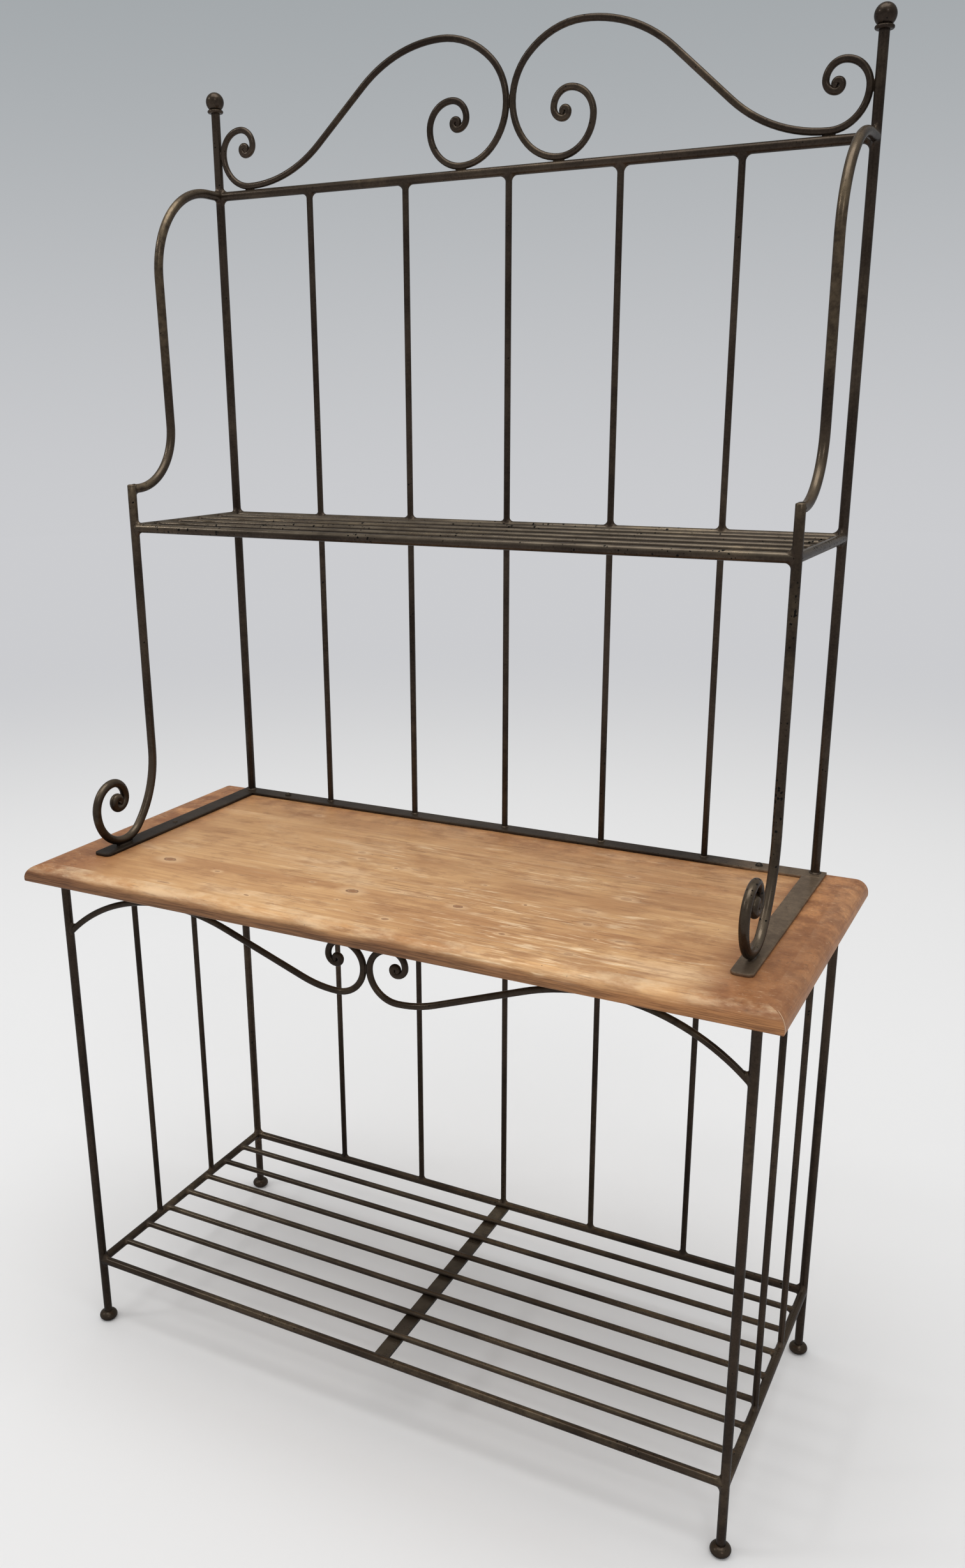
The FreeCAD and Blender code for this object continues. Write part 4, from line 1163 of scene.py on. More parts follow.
@dataclass
class Bend:
    """Flat line of straight runs and tangent arcs, kept as points with headings."""

    across: float
    up: float
    heading: float
    points: list[tuple[Vector, float]] = field(default_factory=list)
    line_step: float = 0.02
    arc_step: float = 0.012
    turn_step: float = 7.0

    def __post_init__(self) -> None:
        """Start at the given point."""
        self.point = Vector((self.across, self.up))
        self.points.append((self.point.copy(), self.heading))

    def line(self, length: float) -> "Bend":
        """Run straight on.

        Args:
            length: the run's length.

        Returns:
            The line itself.
        """
        count = max(1, math.ceil(length / self.line_step))
        for _ in range(count):
            self.point = self.point + unit(self.heading) * (length / count)
            self.points.append((self.point.copy(), self.heading))
        return self

    def arc(self, radius: float, turn: float) -> "Bend":
        """Bend by an angle in degrees, to the left where it is positive.

        Args:
            radius: radius of the bar's axis.
            turn: angle.

        Returns:
            The line itself.
        """
        side = math.copysign(90.0, turn)
        middle = self.point + unit(self.heading + side) * radius
        start = self.heading - side
        count = max(2, math.ceil(abs(turn) / self.turn_step))
        count = max(count, math.ceil(math.radians(abs(turn)) * radius / self.arc_step))
        for number in range(1, count + 1):
            angle = turn * number / count
            self.points.append((middle + unit(start + angle) * radius, self.heading + angle))
        self.point = self.points[-1][0].copy()
        self.heading += turn
        return self

    def curl(self, first: float, last: float, tightness: float, quarters: int, turn: float) -> "Bend":
        """Quarter turns whose radius shrinks.

        Args:
            first: radius of the first quarter.
            last: radius of the last quarter.
            tightness: how soon the radius shrinks.
            quarters: number of quarters.
            turn: angle of each.

        Returns:
            The line itself.
        """
        for number in range(quarters):
            left = 1 - number / (quarters - 1)
            self.arc(last + (first - last) * left ** tightness, turn)
        return self

    def knob(self, radii: Sequence[float], turn: float) -> "Bend":
        """Tight roll that closes the eye of a curl.

        Args:
            radii: radius of each arc, in order.
            turn: angle of each.

        Returns:
            The line itself.
        """
        for radius in radii:
            self.arc(radius, turn)
        return self

    def sweep(self, run: float, rise: float, steepness: float, share: float) -> "Bend":
        """Level S bend over a run and a rise.

        Args:
            run: distance along.
            rise: distance up or down.
            steepness: steepest slope against the mean slope.
            share: the first bend's share of the two radii.

        Returns:
            The line itself.
        """
        slope = steepness * math.atan2(abs(rise), run)
        radii = (run * math.sin(slope) - abs(rise) * math.cos(slope)) / (1 - math.cos(slope))
        straight = ((1 + math.cos(slope)) * abs(rise) - run * math.sin(slope)) / math.sin(slope)
        turn = math.copysign(math.degrees(slope), rise)
        return self.arc(share * radii, turn).line(straight).arc((1 - share) * radii, -turn)

    def quarter(self, ahead: float, aside: float, turn: float) -> "Bend":
        """Quarter turn in two arcs.

        Args:
            ahead: distance ahead.
            aside: distance to the side.
            turn: angle of the whole turn.

        Returns:
            The line itself.
        """
        difference = (ahead - aside) / (math.sqrt(2) - 1)
        second = aside - (1 - math.sqrt(0.5)) * difference
        return self.arc(second + difference, turn / 2).arc(second, turn / 2)


class Plane(Enum):
    """Upright plane in which a bar is bent."""

    FRONT = "across and up"
    SIDE = "front to back and up"


@dataclass
class BentBar:
    """Round bar along a bend, a little uneven, with blunt rounded ends, and mirrored on the right."""

    bend: Bend
    plane: Plane
    offset: float
    radius: float
    taper: float
    taper_run: float
    side: Side
    seed: int
    segments: int = 20
    start_round: bool = False
    taper_power: float = 1.5
    waves: Waves = ((0.008, 41.0), (0.006, 113.0))
    dome_depth: float = 0.38
    dome_rings: int = 5
    dome_turn: float = 90.0 / 5.4
    dome_shrink: float = 0.65
    dome_tip: float = 0.2

    def place(self, flat: Vector, out: float) -> Vector:
        """Point of the bend's plane in the rack's frame.

        Args:
            flat: point in the plane.
            out: distance out of the plane.

        Returns:
            The point in the rack's frame.
        """
        if self.plane is Plane.FRONT:
            point = Vector((flat.x, self.offset + out, flat.y))
        else:
            point = Vector((self.offset + out, flat.x, flat.y))
        if self.side is Side.RIGHT:
            point.x = -point.x
        return point

    def ring(self, flat: Vector, heading: float, radius: float) -> list[Vector]:
        """Ring of points round the bar.

        Args:
            flat: centre in the plane.
            heading: direction of the bar.
            radius: ring's radius.

        Returns:
            The ring.
        """
        side = unit(heading + 90.0)
        ring = []
        for number in range(self.segments):
            angle = 2 * math.pi * number / self.segments
            ring.append(self.place(flat + side * (radius * math.cos(angle)), radius * math.sin(angle)))
        return ring

    def build(self, kind: str, material: bpy.types.Material) -> None:
        """Skin the bar and put it in the place of a frame node.

        Args:
            kind: name of the node that it stands for, without the side.
            material: its finish.
        """
        phases = draw_phases(random.Random(self.seed + self.side.value), len(self.waves))
        travelled = [0.0]
        for (a, _), (b, _) in zip(self.bend.points, self.bend.points[1:]):
            travelled.append(travelled[-1] + (b - a).length)
        rings = self.dome(*self.bend.points[0], self.radius, -1.0) if self.start_round else []
        thinned = sum(depth for depth, _ in self.waves)
        for (flat, heading), run in list(zip(self.bend.points, travelled))[int(self.start_round):]:
            radius = self.radius * (1 - thinned - ripple(run, self.waves, phases))
            left = min(1.0, (travelled[-1] - run) / self.taper_run)
            rings.append(self.ring(flat, heading, radius * (1 - self.taper * (1 - left) ** self.taper_power)))
        rings += self.dome(*self.bend.points[-1], self.radius * (1 - self.taper), 1.0)
        bm = bmesh.new()
        skin(bm, rings)
        node = "%s_%s" % (kind, self.side.label)
        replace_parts(add_piece(node + "_bar", bm, material), node)

    def dome(self, flat: Vector, heading: float, radius: float, way: float) -> list[list[Vector]]:
        """Blunt rounded end beyond a point of the bar.

        Args:
            flat: where the end starts.
            heading: the bar's direction.
            radius: the bar's radius there.
            way: 1 at the bar's end and -1 at its start.

        Returns:
            Rings that close the bar.
        """
        rings = []
        for number in range(1, self.dome_rings + 1):
            rise = unit(self.dome_turn * number)
            shrink = 1 - self.dome_shrink * (1 - rise.x) if number < self.dome_rings else self.dome_tip
            tip = flat + unit(heading) * (way * radius * self.dome_depth * rise.y)
            rings.append(self.ring(tip, heading, radius * shrink))
        return rings if way > 0 else rings[::-1]


# ---------------------------------------------------------------- welds

class Weld:
    """Bead of weld, built with the rest of its piece."""

    def build(self, bm: bmesh.types.BMesh, draw: random.Random) -> None:
        """Skin the bead.

        Args:
            bm: where the faces go.
            draw: source of its unevenness.
        """
        raise NotImplementedError


@dataclass
class BarWeld(Weld):
    """Concave weld where a bar's end meets the side of another bar."""

    foot: Vector
    away: Vector
    along: Vector
    small: float
    big: float
    size: float
    offset: float = 0.0
    bare_side: Optional[Vector] = None
    segments: int = 28
    face_points: int = 9
    sunk: float = 0.0012
    deepest: float = 2.5
    waves: Waves = ((0.10, 2), (0.06, 5))
    spare_phases: int = 1
    lean_loss: float = 0.8
    bare_loss: float = 0.93
    bare_power: float = 0.6

    def build(self, bm: bmesh.types.BMesh, draw: random.Random) -> None:
        """Roll a ball round the joint and skin what it leaves.

        Args:
            bm: where the faces go.
            draw: source of the weld's unevenness.
        """
        away, along = self.away.normalized(), self.along.normalized()
        first = (along - away * along.dot(away)).normalized()
        second = away.cross(first)
        phases = draw_phases(draw, len(self.waves) + self.spare_phases)
        lean = away.dot(along)
        rings = []
        for angle, out in spokes(first, second, self.segments):
            size = self.size * (1 + ripple(angle, self.waves, phases))
            size *= 1 - self.lean_loss * max(0.0, lean * out.dot(first))
            if self.bare_side is not None:
                size *= 1 - self.bare_loss * max(0.0, out.dot(self.bare_side)) ** self.bare_power
            rings.append(self.profile(out, away, along, second, size))
        skin(bm, rings, closed=True)

    def profile(self, out: Vector, away: Vector, along: Vector, second: Vector, size: float) -> list[Vector]:
        """Section of the weld in one direction round the small bar.

        Args:
            out: direction out of the small bar.
            away: direction of the small bar.
            along: direction of the big bar.
            second: direction in which the small bar's axis may be offset.
            size: radius of the rolled ball.

        Returns:
            Points from the small bar, over the concave face, to the big bar and back inside.
        """
        reach = out * (self.small + size) + second * self.offset
        flat_reach = reach - along * reach.dot(along)
        flat_away = away - along * away.dot(along)
        b = flat_reach.dot(flat_away)
        a = flat_away.length_squared
        c = flat_reach.length_squared - (self.big + size) ** 2
        run = (-b + math.sqrt(max(0.0, b * b - a * c))) / a
        ball = reach + away * run
        on_small = second * self.offset + out * self.small + away * run
        drop = (ball - along * ball.dot(along)).normalized()
        on_big = along * ball.dot(along) + drop * self.big
        points = [on_small - out * self.sunk]
        for number in range(self.face_points):
            arm = (on_small - ball).lerp(on_big - ball, number / (self.face_points - 1))
            points.append(ball + arm.normalized() * size)
        points.append(on_big - drop * self.sunk)
        inward = on_small.lerp(on_big, 0.5) - ball
        corner = inward * min(size ** 2 / inward.length_squared, self.deepest)
        points.append(ball + corner + inward.normalized() * self.sunk)
        return [self.foot + point for point in points]


@dataclass
class FlatWeld(Weld):
    """Low weld round the foot of a bar that stands on a flat."""

    foot: Vector
    away: Vector
    radius: float
    height: float
    spread: float
    segments: int = 26
    sunk: float = 0.0008
    proud: float = 0.0002
    buried: float = 0.0006
    back: float = 0.6
    bulge: float = 0.18
    bulge_out: float = 0.3
    waves: Waves = ((0.22, 3), (0.12, 7))
    stages: tuple[float, ...] = (0.25, 0.5, 0.75)

    def build(self, bm: bmesh.types.BMesh, draw: random.Random) -> None:
        """Skin the ring of weld.

        Args:
            bm: where the faces go.
            draw: source of the weld's unevenness.
        """
        away = self.away.normalized()
        first = away.orthogonal().normalized()
        second = away.cross(first)
        phases = draw_phases(draw, len(self.waves))
        rings = []
        for angle, out in spokes(first, second, self.segments):
            uneven = 1 + ripple(angle, self.waves, phases)
            height, spread = self.height * uneven, self.spread * uneven
            section = [(-self.sunk, height), (self.proud, height)]
            for share in self.stages:
                bulge = self.bulge * math.sin(math.pi * share)
                section.append((spread * (share + bulge * self.bulge_out), height * (1 - share + bulge)))
            section += [(spread, self.proud), (spread * self.back, -self.buried), (-self.sunk, -self.buried)]
            rings.append([self.foot + out * (self.radius + reach) + away * rise for reach, rise in section])
        skin(bm, rings, closed=True)


@dataclass
class SeamWeld(Weld):
    """Weld that fills the crevice where a bent bar touches a straight one, or a flat."""

    contact: Vector
    along: Vector
    across: Vector
    straight_radius: float
    bent_radius: float
    bend: float
    length: float
    width: float
    lumps: float = 0.08
    stations: int = 13
    thinnest: float = 0.02
    widest: float = 0.93
    waist: float = 0.62
    sunk: float = 0.0006

    def build(self, bm: bmesh.types.BMesh, draw: random.Random) -> None:
        """Skin the weld between the two bars.

        Args:
            bm: where the faces go.
            draw: source of the weld's unevenness.
        """
        along, across = self.along.normalized(), self.across.normalized()
        side = along.cross(across)
        rings = []
        for number in range(self.stations):
            share = 2 * number / (self.stations - 1) - 1
            run = share * self.length
            full = math.sqrt(max(self.thinnest, 1 - share * share))
            full *= 1 + draw.uniform(-self.lumps, self.lumps)
            width = min(self.width * full, self.widest * self.bent_radius)
            waist = width * self.waist
            low = math.sqrt(self.straight_radius ** 2 - width ** 2) - self.straight_radius
            gap = run * run / (2 * self.bend)
            high = self.bent_radius - math.sqrt(self.bent_radius ** 2 - width ** 2) + gap
            points = [(-width, low - self.sunk), (-waist, (high + low) / 2), (-width, high + self.sunk),
                      (width, high + self.sunk), (waist, (high + low) / 2), (width, low - self.sunk)]
            rings.append([self.contact + along * run + side * x + across * z for x, z in points])
        skin(bm, rings)


def weld_piece(name: str, welds: Sequence[Weld], material: bpy.types.Material, seed: int) -> None:
    """Build several welds as one piece.

    Args:
        name: the piece's name.
        welds: the welds.
        material: their finish.
        seed: seed of their unevenness.
    """
    bm = bmesh.new()
    draw = random.Random(seed)
    for weld in welds:
        weld.build(bm, draw)
    add_piece(name, bm, material)


# ---------------------------------------------------------------- sub-assemblies

@dataclass
class Stock:
    """Round bar and rod that the rack is welded from, and its weld sizes."""

    bar: float = 0.007
    rod: float = 0.005
    bar_weld: float = 0.0090
    rod_weld: float = 0.0070
    rail_weld: float = 0.0090
    weld_gap: float = 0.0003
    taper: float = 0.14
    taper_run: float = 0.016
    knob: tuple[float, ...] = (0.0046, 0.0038, 0.0031)
    knob_turn: float = 52.0
    roll: float = 0.00525


@dataclass
class Base:
    """Legs on bun feet, the slatted lower shelf, the back and side rods, and the apron scrolls."""

    stock: Stock
    steels: Steels
    shelf_rods: int = 7
    back_rods: int = 5
    side_rods: int = 2
    arch_reach: float = 0.207
    joint_height: float = 0.751
    loop: float = 0.045
    curl: float = 0.036
    curl_quarters: int = 5
    steepness: float = 1.375
    upper_share: float = 0.65
    tightness: float = 1.9
    apron_seed: int = 11
    weld_seed: int = 5

    def build(self) -> None:
        """Dress the plain bars, bend the apron and add the welds."""
        dress(named("leg_", "foot_", "lower_rail_", "base_", "frame_strap_"), self.steels[Steel.BASE])
        dress(named("lower_shelf_"), self.steels[Steel.SLAT])
        for side in Side:
            self.build_apron(side)
        self.build_welds()

    def apron_top(self) -> float:
        """Height of the apron scrolls' axis where they touch the strap under the wood."""
        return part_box("frame_strap_front")[0].z - self.stock.weld_gap - self.stock.rod

    def build_apron(self, side: Side) -> None:
        """Bend one apron scroll, from its leg to its rolled end.

        Args:
            side: its side of the rack.
        """
        stock, leg = self.stock, centre("leg_front_left")
        drop, reach = self.apron_top() - self.joint_height, self.arch_reach
        turn = 2 * math.degrees(math.atan2(drop, reach))
        radius = (reach ** 2 + drop ** 2) / (2 * drop)
        lowest = -stock.rod - stock.weld_gap / 2 - self.loop
        bend = Bend(leg.x, self.joint_height, turn)
        bend.arc(radius, -turn)
        bend.sweep(lowest - (leg.x + reach), -self.curl - self.loop, self.steepness, self.upper_share)
        bend.arc(self.loop, 90.0)
        bend.curl(self.curl, stock.roll, self.tightness, self.curl_quarters, 90.0)
        bend.knob(stock.knob, stock.knob_turn)
        bar = BentBar(bend, Plane.FRONT, leg.y, stock.rod, stock.taper, stock.taper_run, side,
                      self.apron_seed)
        bar.build("apron_scroll", self.steels[Steel.BASE])

    def build_welds(self) -> None:
        """Weld the rails, rods and apron to what carries them."""
        stock = self.stock
        leg, rear = centre("leg_front_right"), centre("leg_rear_right")
        low, depth = centre("lower_rail_left").z, rear.y - leg.y
        lift, top = stock.bar - stock.rod, self.apron_top()
        joints: list[Weld] = []
        for y, inward in ((leg.y, ALONG), (rear.y, -ALONG)):
            for side in Side:
                foot = Vector((side.value * leg.x, y, low))
                joints.append(BarWeld(foot, ACROSS * -side.value, UP, stock.bar, stock.bar, stock.bar_weld))
                joints.append(BarWeld(foot, inward, UP, stock.bar, stock.bar, stock.bar_weld))
        for number in range(1, self.shelf_rods + 1):
            for side in Side:
                foot = Vector((side.value * leg.x, leg.y + depth * number / (self.shelf_rods + 1), low))
                joints.append(BarWeld(foot, ACROSS * -side.value, ALONG, stock.rod, stock.bar, stock.rod_weld,
                                      offset=-side.value * lift))
        for number in range(self.back_rods):
            foot = Vector(((number - self.back_rods // 2) * rod_pitch(self.back_rods), rear.y, low))
            joints.append(BarWeld(foot, UP, ACROSS, stock.rod, stock.bar, stock.rod_weld))
        for side in Side:
            for number in range(1, self.side_rods + 1):
                foot = Vector((side.value * leg.x, leg.y + depth * number / (self.side_rods + 1), low))
                joints.append(BarWeld(foot, UP, ALONG, stock.rod, stock.bar, stock.rod_weld))
        turn = 2 * math.atan2(top - self.joint_height, self.arch_reach)
        for side in Side:
            away = Vector((-side.value * math.cos(turn), 0, math.sin(turn)))
            joint = Vector((side.value * leg.x, leg.y, self.joint_height))
            joints.append(BarWeld(joint, away, UP, stock.rod, stock.bar, stock.rod_weld))
            contact = Vector((side.value * (stock.rod + stock.weld_gap + self.curl), leg.y, top + stock.rod))
            joints.append(SeamWeld(contact, ACROSS, -UP, FLAT_RADIUS, stock.rod, self.curl,
                                   length=0.006, width=0.0028))
        contact = Vector((-stock.weld_gap / 2, leg.y, top - self.curl))
        joints.append(SeamWeld(contact, UP, ACROSS, stock.rod, stock.rod,
                               bend=0.02, length=0.007, width=0.0030))
        weld_piece("base_welds", joints, self.steels[Steel.WELD], self.weld_seed)


def rod_pitch(rods: int) -> float:
    """Distance between neighbouring back rods, which lie evenly between the uprights."""
    return (centre("hutch_upright_right").x - centre("hutch_upright_left").x) / (rods + 1)


@dataclass
class Hutch:
    """Straps on the wood, uprights with finials, posts, arms, the shelf and the crest."""

    stock: Stock
    steels: Steels
    shelf_rods: int = 4
    back_rods: int = 5
    strap_edge: float = 0.0014
    strap_foot: tuple[tuple[float, float], ...] = ((1.6, 0.0), (0.35, 0.35), (0.0, 1.0))
    strap_crown: tuple[tuple[float, float], ...] = ((0.0, 1.0), (0.30, 0.30), (1.0, 0.0), (2.5, 0.0))
    strap_waver: float = 0.0003
    strap_inset: float = 0.00012
    strap_tip: float = 0.009
    tip_points: int = 7
    side_points: int = 13
    long_points: int = 36
    end_points: int = 3
    post_rounding: float = 0.0026
    post_bend_height: float = 0.133
    post_bend_reach: float = 0.086
    post_curl: float = 0.059
    post_roll: float = 0.008
    post_tightness: float = 1.9
    post_knob: tuple[float, ...] = (0.0070, 0.0060, 0.0048)
    post_knob_turn: float = 48.0
    post_taper: float = 0.10
    post_taper_run: float = 0.024
    post_segments: int = 24
    crown: float = 0.114
    crest_height: float = 0.186
    loop_height: float = 0.080
    loop_reach: float = 0.075
    inner_curl: float = 0.0525
    outer_curl: float = 0.049
    curl_quarters: int = 6
    crest_steepness: float = 1.57
    crest_share: float = 0.5
    crest_tightness: float = 1.75
    post_seed: int = 31
    crest_seed: int = 51
    strap_seed: int = 61
    rear_strap_seed: int = 65
    weld_seed: int = 9

    def build(self) -> None:
        """Dress the plain bars, and make the scrolls, straps and welds."""
        plain = named("hutch_upright_", "finial_", "hutch_top_rail", "hutch_back_rods_")
        dress(plain, self.steels[Steel.BRONZE])
        dress(named("shelf_"), self.steels[Steel.SHELF])
        dress(named("hutch_arm_"), self.steels[Steel.WORN])
        for side in Side:
            self.build_post(side)
            self.build_crest(side)
            self.build_side_strap(side)
        self.build_rear_strap()
        self.build_welds()

    def build_post(self, side: Side) -> None:
        """Bend one front post into its scroll.

        Args:
            side: its side of the rack.
        """
        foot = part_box("hutch_strap_" + side.label)[1].z + self.stock.weld_gap + self.stock.bar
        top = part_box("hutch_post_left")[1].z - self.post_rounding
        bend = Bend(centre("shelf_rail_front").y, top, -90.0)
        bend.line(top - foot - self.post_bend_height)
        bend.quarter(self.post_bend_height, self.post_bend_reach, -90.0)
        bend.curl(self.post_curl, self.post_roll, self.post_tightness, self.curl_quarters, -90.0)
        bend.knob(self.post_knob, -self.post_knob_turn)
        bar = BentBar(bend, Plane.SIDE, centre("hutch_upright_left").x, self.stock.bar, self.post_taper,
                      self.post_taper_run, side, self.post_seed, self.post_segments, start_round=True)
        bar.build("hutch_post", self.steels[Steel.PITTED if side is Side.RIGHT else Steel.WORN])

    def build_crest(self, side: Side) -> None:
        """Bend one crest scroll, rolled at both ends.

        Args:
            side: its side of the rack.
        """
        stock, upright, rail = self.stock, centre("hutch_upright_left"), centre("hutch_top_rail").z
        clear = stock.bar + stock.rod + stock.weld_gap
        lowest, crown = rail + clear, rail + self.crest_height
        outer = upright.x + clear + self.outer_curl
        half_gap = stock.rod + stock.weld_gap / 2
        tail = Bend(outer, lowest, 180.0)
        tail.curl(self.outer_curl, stock.roll, self.crest_tightness, self.curl_quarters, -90.0)
        tail.knob(stock.knob, -stock.knob_turn)
        body = Bend(outer, lowest, 0.0)
        body.sweep(-self.crown - outer, crown - lowest, self.crest_steepness, self.crest_share)
        body.quarter(self.crown - half_gap, crown - lowest - self.loop_height, -90.0)
        body.quarter(self.loop_height, self.loop_reach, -90.0)
        body.curl(self.inner_curl, stock.roll, self.crest_tightness, self.curl_quarters, -90.0)
        body.knob(stock.knob, -stock.knob_turn)
        whole = Bend(0.0, 0.0, 0.0)
        reverse = [(point, heading + 180.0) for point, heading in reversed(tail.points)]
        whole.points = reverse + body.points[1:]
        bar = BentBar(whole, Plane.FRONT, upright.y, stock.rod, stock.taper, stock.taper_run, side,
                      self.crest_seed, start_round=True)
        bar.build("crest_scroll", self.steels[Steel.BRONZE])

    def build_side_strap(self, side: Side) -> None:
        """Hand-finished side strap with softened edges and rounded front corners.

        Args:
            side: its side of the rack.
        """
        node = "hutch_strap_" + side.label
        low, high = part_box(node)
        tip, count = self.strap_tip, self.side_points
        outline = []
        for x, start in ((low.x + tip, 180.0), (high.x - tip, 270.0)):
            for number in range(self.tip_points):
                angle = start + 90.0 * number / (self.tip_points - 1)
                outline.append(Vector((x, low.y + tip)) + unit(angle) * tip)
        length = high.y - low.y - tip
        outline += [Vector((high.x, low.y + tip + length * n / count)) for n in range(1, count + 1)]
        outline += [Vector((low.x, low.y + tip + length * n / count)) for n in range(count, 0, -1)]
        self.build_strap(node, outline, self.strap_seed + side.value)

    def build_rear_strap(self) -> None:
        """Hand-finished rear strap with softened edges."""
        low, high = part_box("hutch_strap_rear")
        run, depth = (high.x - low.x) / self.long_points, (high.y - low.y) / self.end_points
        outline = [Vector((low.x + run * n, low.y)) for n in range(self.long_points)]
        outline += [Vector((high.x, low.y + depth * n)) for n in range(self.end_points)]
        outline += [Vector((high.x - run * n, high.y)) for n in range(self.long_points)]
        outline += [Vector((low.x, high.y - depth * n)) for n in range(self.end_points)]
        self.build_strap("hutch_strap_rear", outline, self.rear_strap_seed)

    def build_strap(self, node: str, outline: Sequence[Vector], seed: int) -> None:
        """Flat strap with rounded edges that waver a little, in the place of a frame node.

        Args:
            node: the node that it stands for.
            outline: points seen from above.
            seed: seed of the wavering.
        """
        draw = random.Random(seed)
        wavered = []
        for number, point in enumerate(outline):
            run = (outline[(number + 1) % len(outline)] - outline[number - 1]).normalized()
            inward = Vector((-run.y, run.x))
            wavered.append((point + inward * draw.uniform(0.0, self.strap_waver), inward))
        low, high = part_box(node)
        bottom, top, edge = low.z, high.z - self.strap_inset, self.strap_edge
        section = [(edge * inset, bottom + edge * rise) for inset, rise in self.strap_foot]
        section += [(edge * inset, top - edge * drop) for inset, drop in self.strap_crown]
        bm = bmesh.new()
        skin(bm, [[(point + inward * inset).to_3d() + UP * height for point, inward in wavered]
                  for inset, height in section])
        bmesh.ops.triangulate(bm, faces=[face for face in bm.faces if len(face.verts) == len(outline)])
        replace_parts(add_piece(node + "_flat", bm, self.steels[Steel.STRAP]), node)

    def build_welds(self) -> None:
        """Weld the rails, rods, arms and scrolls to what carries them."""
        stock, bar, rod = self.stock, self.stock.bar, self.stock.rod
        upright, post_line = centre("hutch_upright_right"), centre("shelf_rail_front").y
        shelf, rail = centre("shelf_rail_rear").z, centre("hutch_top_rail").z
        post_top, strap_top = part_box("hutch_post_left")[1].z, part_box("hutch_strap_rear")[1].z
        joints: list[Weld] = []
        for side in Side:
            inward, x = ACROSS * -side.value, side.value * upright.x
            for y, z, away, bare_side in (
                (upright.y, rail, inward, None), (upright.y, rail, -ALONG, None),
                (post_line, post_top - bar, ALONG, UP),
                (post_line, shelf, inward, None), (upright.y, shelf, inward, None),
                (post_line, shelf, ALONG, None), (upright.y, shelf, -ALONG, None),
            ):
                joints.append(BarWeld(Vector((x, y, z)), away, UP, bar, bar, stock.bar_weld,
                                      bare_side=bare_side))
            for number in range(1, self.shelf_rods + 1):
                y = post_line + (upright.y - post_line) * number / (self.shelf_rods + 1)
                joints.append(BarWeld(Vector((x, y, shelf)), inward, ALONG, rod, bar, stock.rod_weld,
                                      offset=side.value * (rod - bar)))
            joints.append(FlatWeld(Vector((x, upright.y, strap_top)), UP, bar, height=0.0022, spread=0.0026))
        for number in range(self.back_rods):
            x = (number - self.back_rods // 2) * rod_pitch(self.back_rods)
            joints.append(FlatWeld(Vector((x, upright.y, strap_top)), UP, rod, height=0.0016, spread=0.0020))
            for z, away, size in ((shelf, -UP, stock.rod_weld), (shelf, UP, stock.rod_weld),
                                  (rail, -UP, stock.rail_weld)):
                joints.append(BarWeld(Vector((x, upright.y, z)), away, ACROSS, rod, bar, size))
        joints += self.scroll_seams(upright, rail)
        weld_piece("hutch_welds", joints, self.steels[Steel.WELD], self.weld_seed)

    def scroll_seams(self, upright: Vector, rail: float) -> list[Weld]:
        """Welds where the scrolls touch the top rail, the uprights, the side straps and each other.

        Args:
            upright: middle of the right upright.
            rail: height of the top rail's centre.

        Returns:
            The welds.
        """
        bar, rod, gap = self.stock.bar, self.stock.rod, self.stock.weld_gap
        clear = bar + rod + gap
        scroll_line = centre("shelf_rail_front").y - self.post_bend_reach
        strap_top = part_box("hutch_strap_rear")[1].z
        seams: list[Weld] = []
        for sign in (side.value for side in Side):
            outer = Vector((sign * (upright.x - clear - self.outer_curl), upright.y, rail + bar))
            loop = Vector((sign * (rod + gap / 2 + self.loop_reach), upright.y, rail + bar))
            beside = Vector((sign * (upright.x - bar), upright.y, rail + clear + self.outer_curl))
            foot = Vector((sign * upright.x, scroll_line, strap_top))
            seams += [
                SeamWeld(outer, ACROSS, UP, bar, rod, bend=0.09, length=0.009, width=0.0030),
                SeamWeld(loop, ACROSS, UP, bar, rod, bend=0.06, length=0.009, width=0.0030),
                SeamWeld(beside, UP, ACROSS * -sign, bar, rod, bend=0.045, length=0.0075, width=0.0028),
                SeamWeld(foot, ALONG, UP, FLAT_RADIUS, bar, bend=0.075, length=0.019, width=0.0066,
                         lumps=0.22),
            ]
        middle = Vector((-gap / 2, upright.y, rail + clear + self.loop_height))
        seams.append(SeamWeld(middle, UP, ACROSS, rod, rod, bend=0.045, length=0.009, width=0.0030))
        return seams


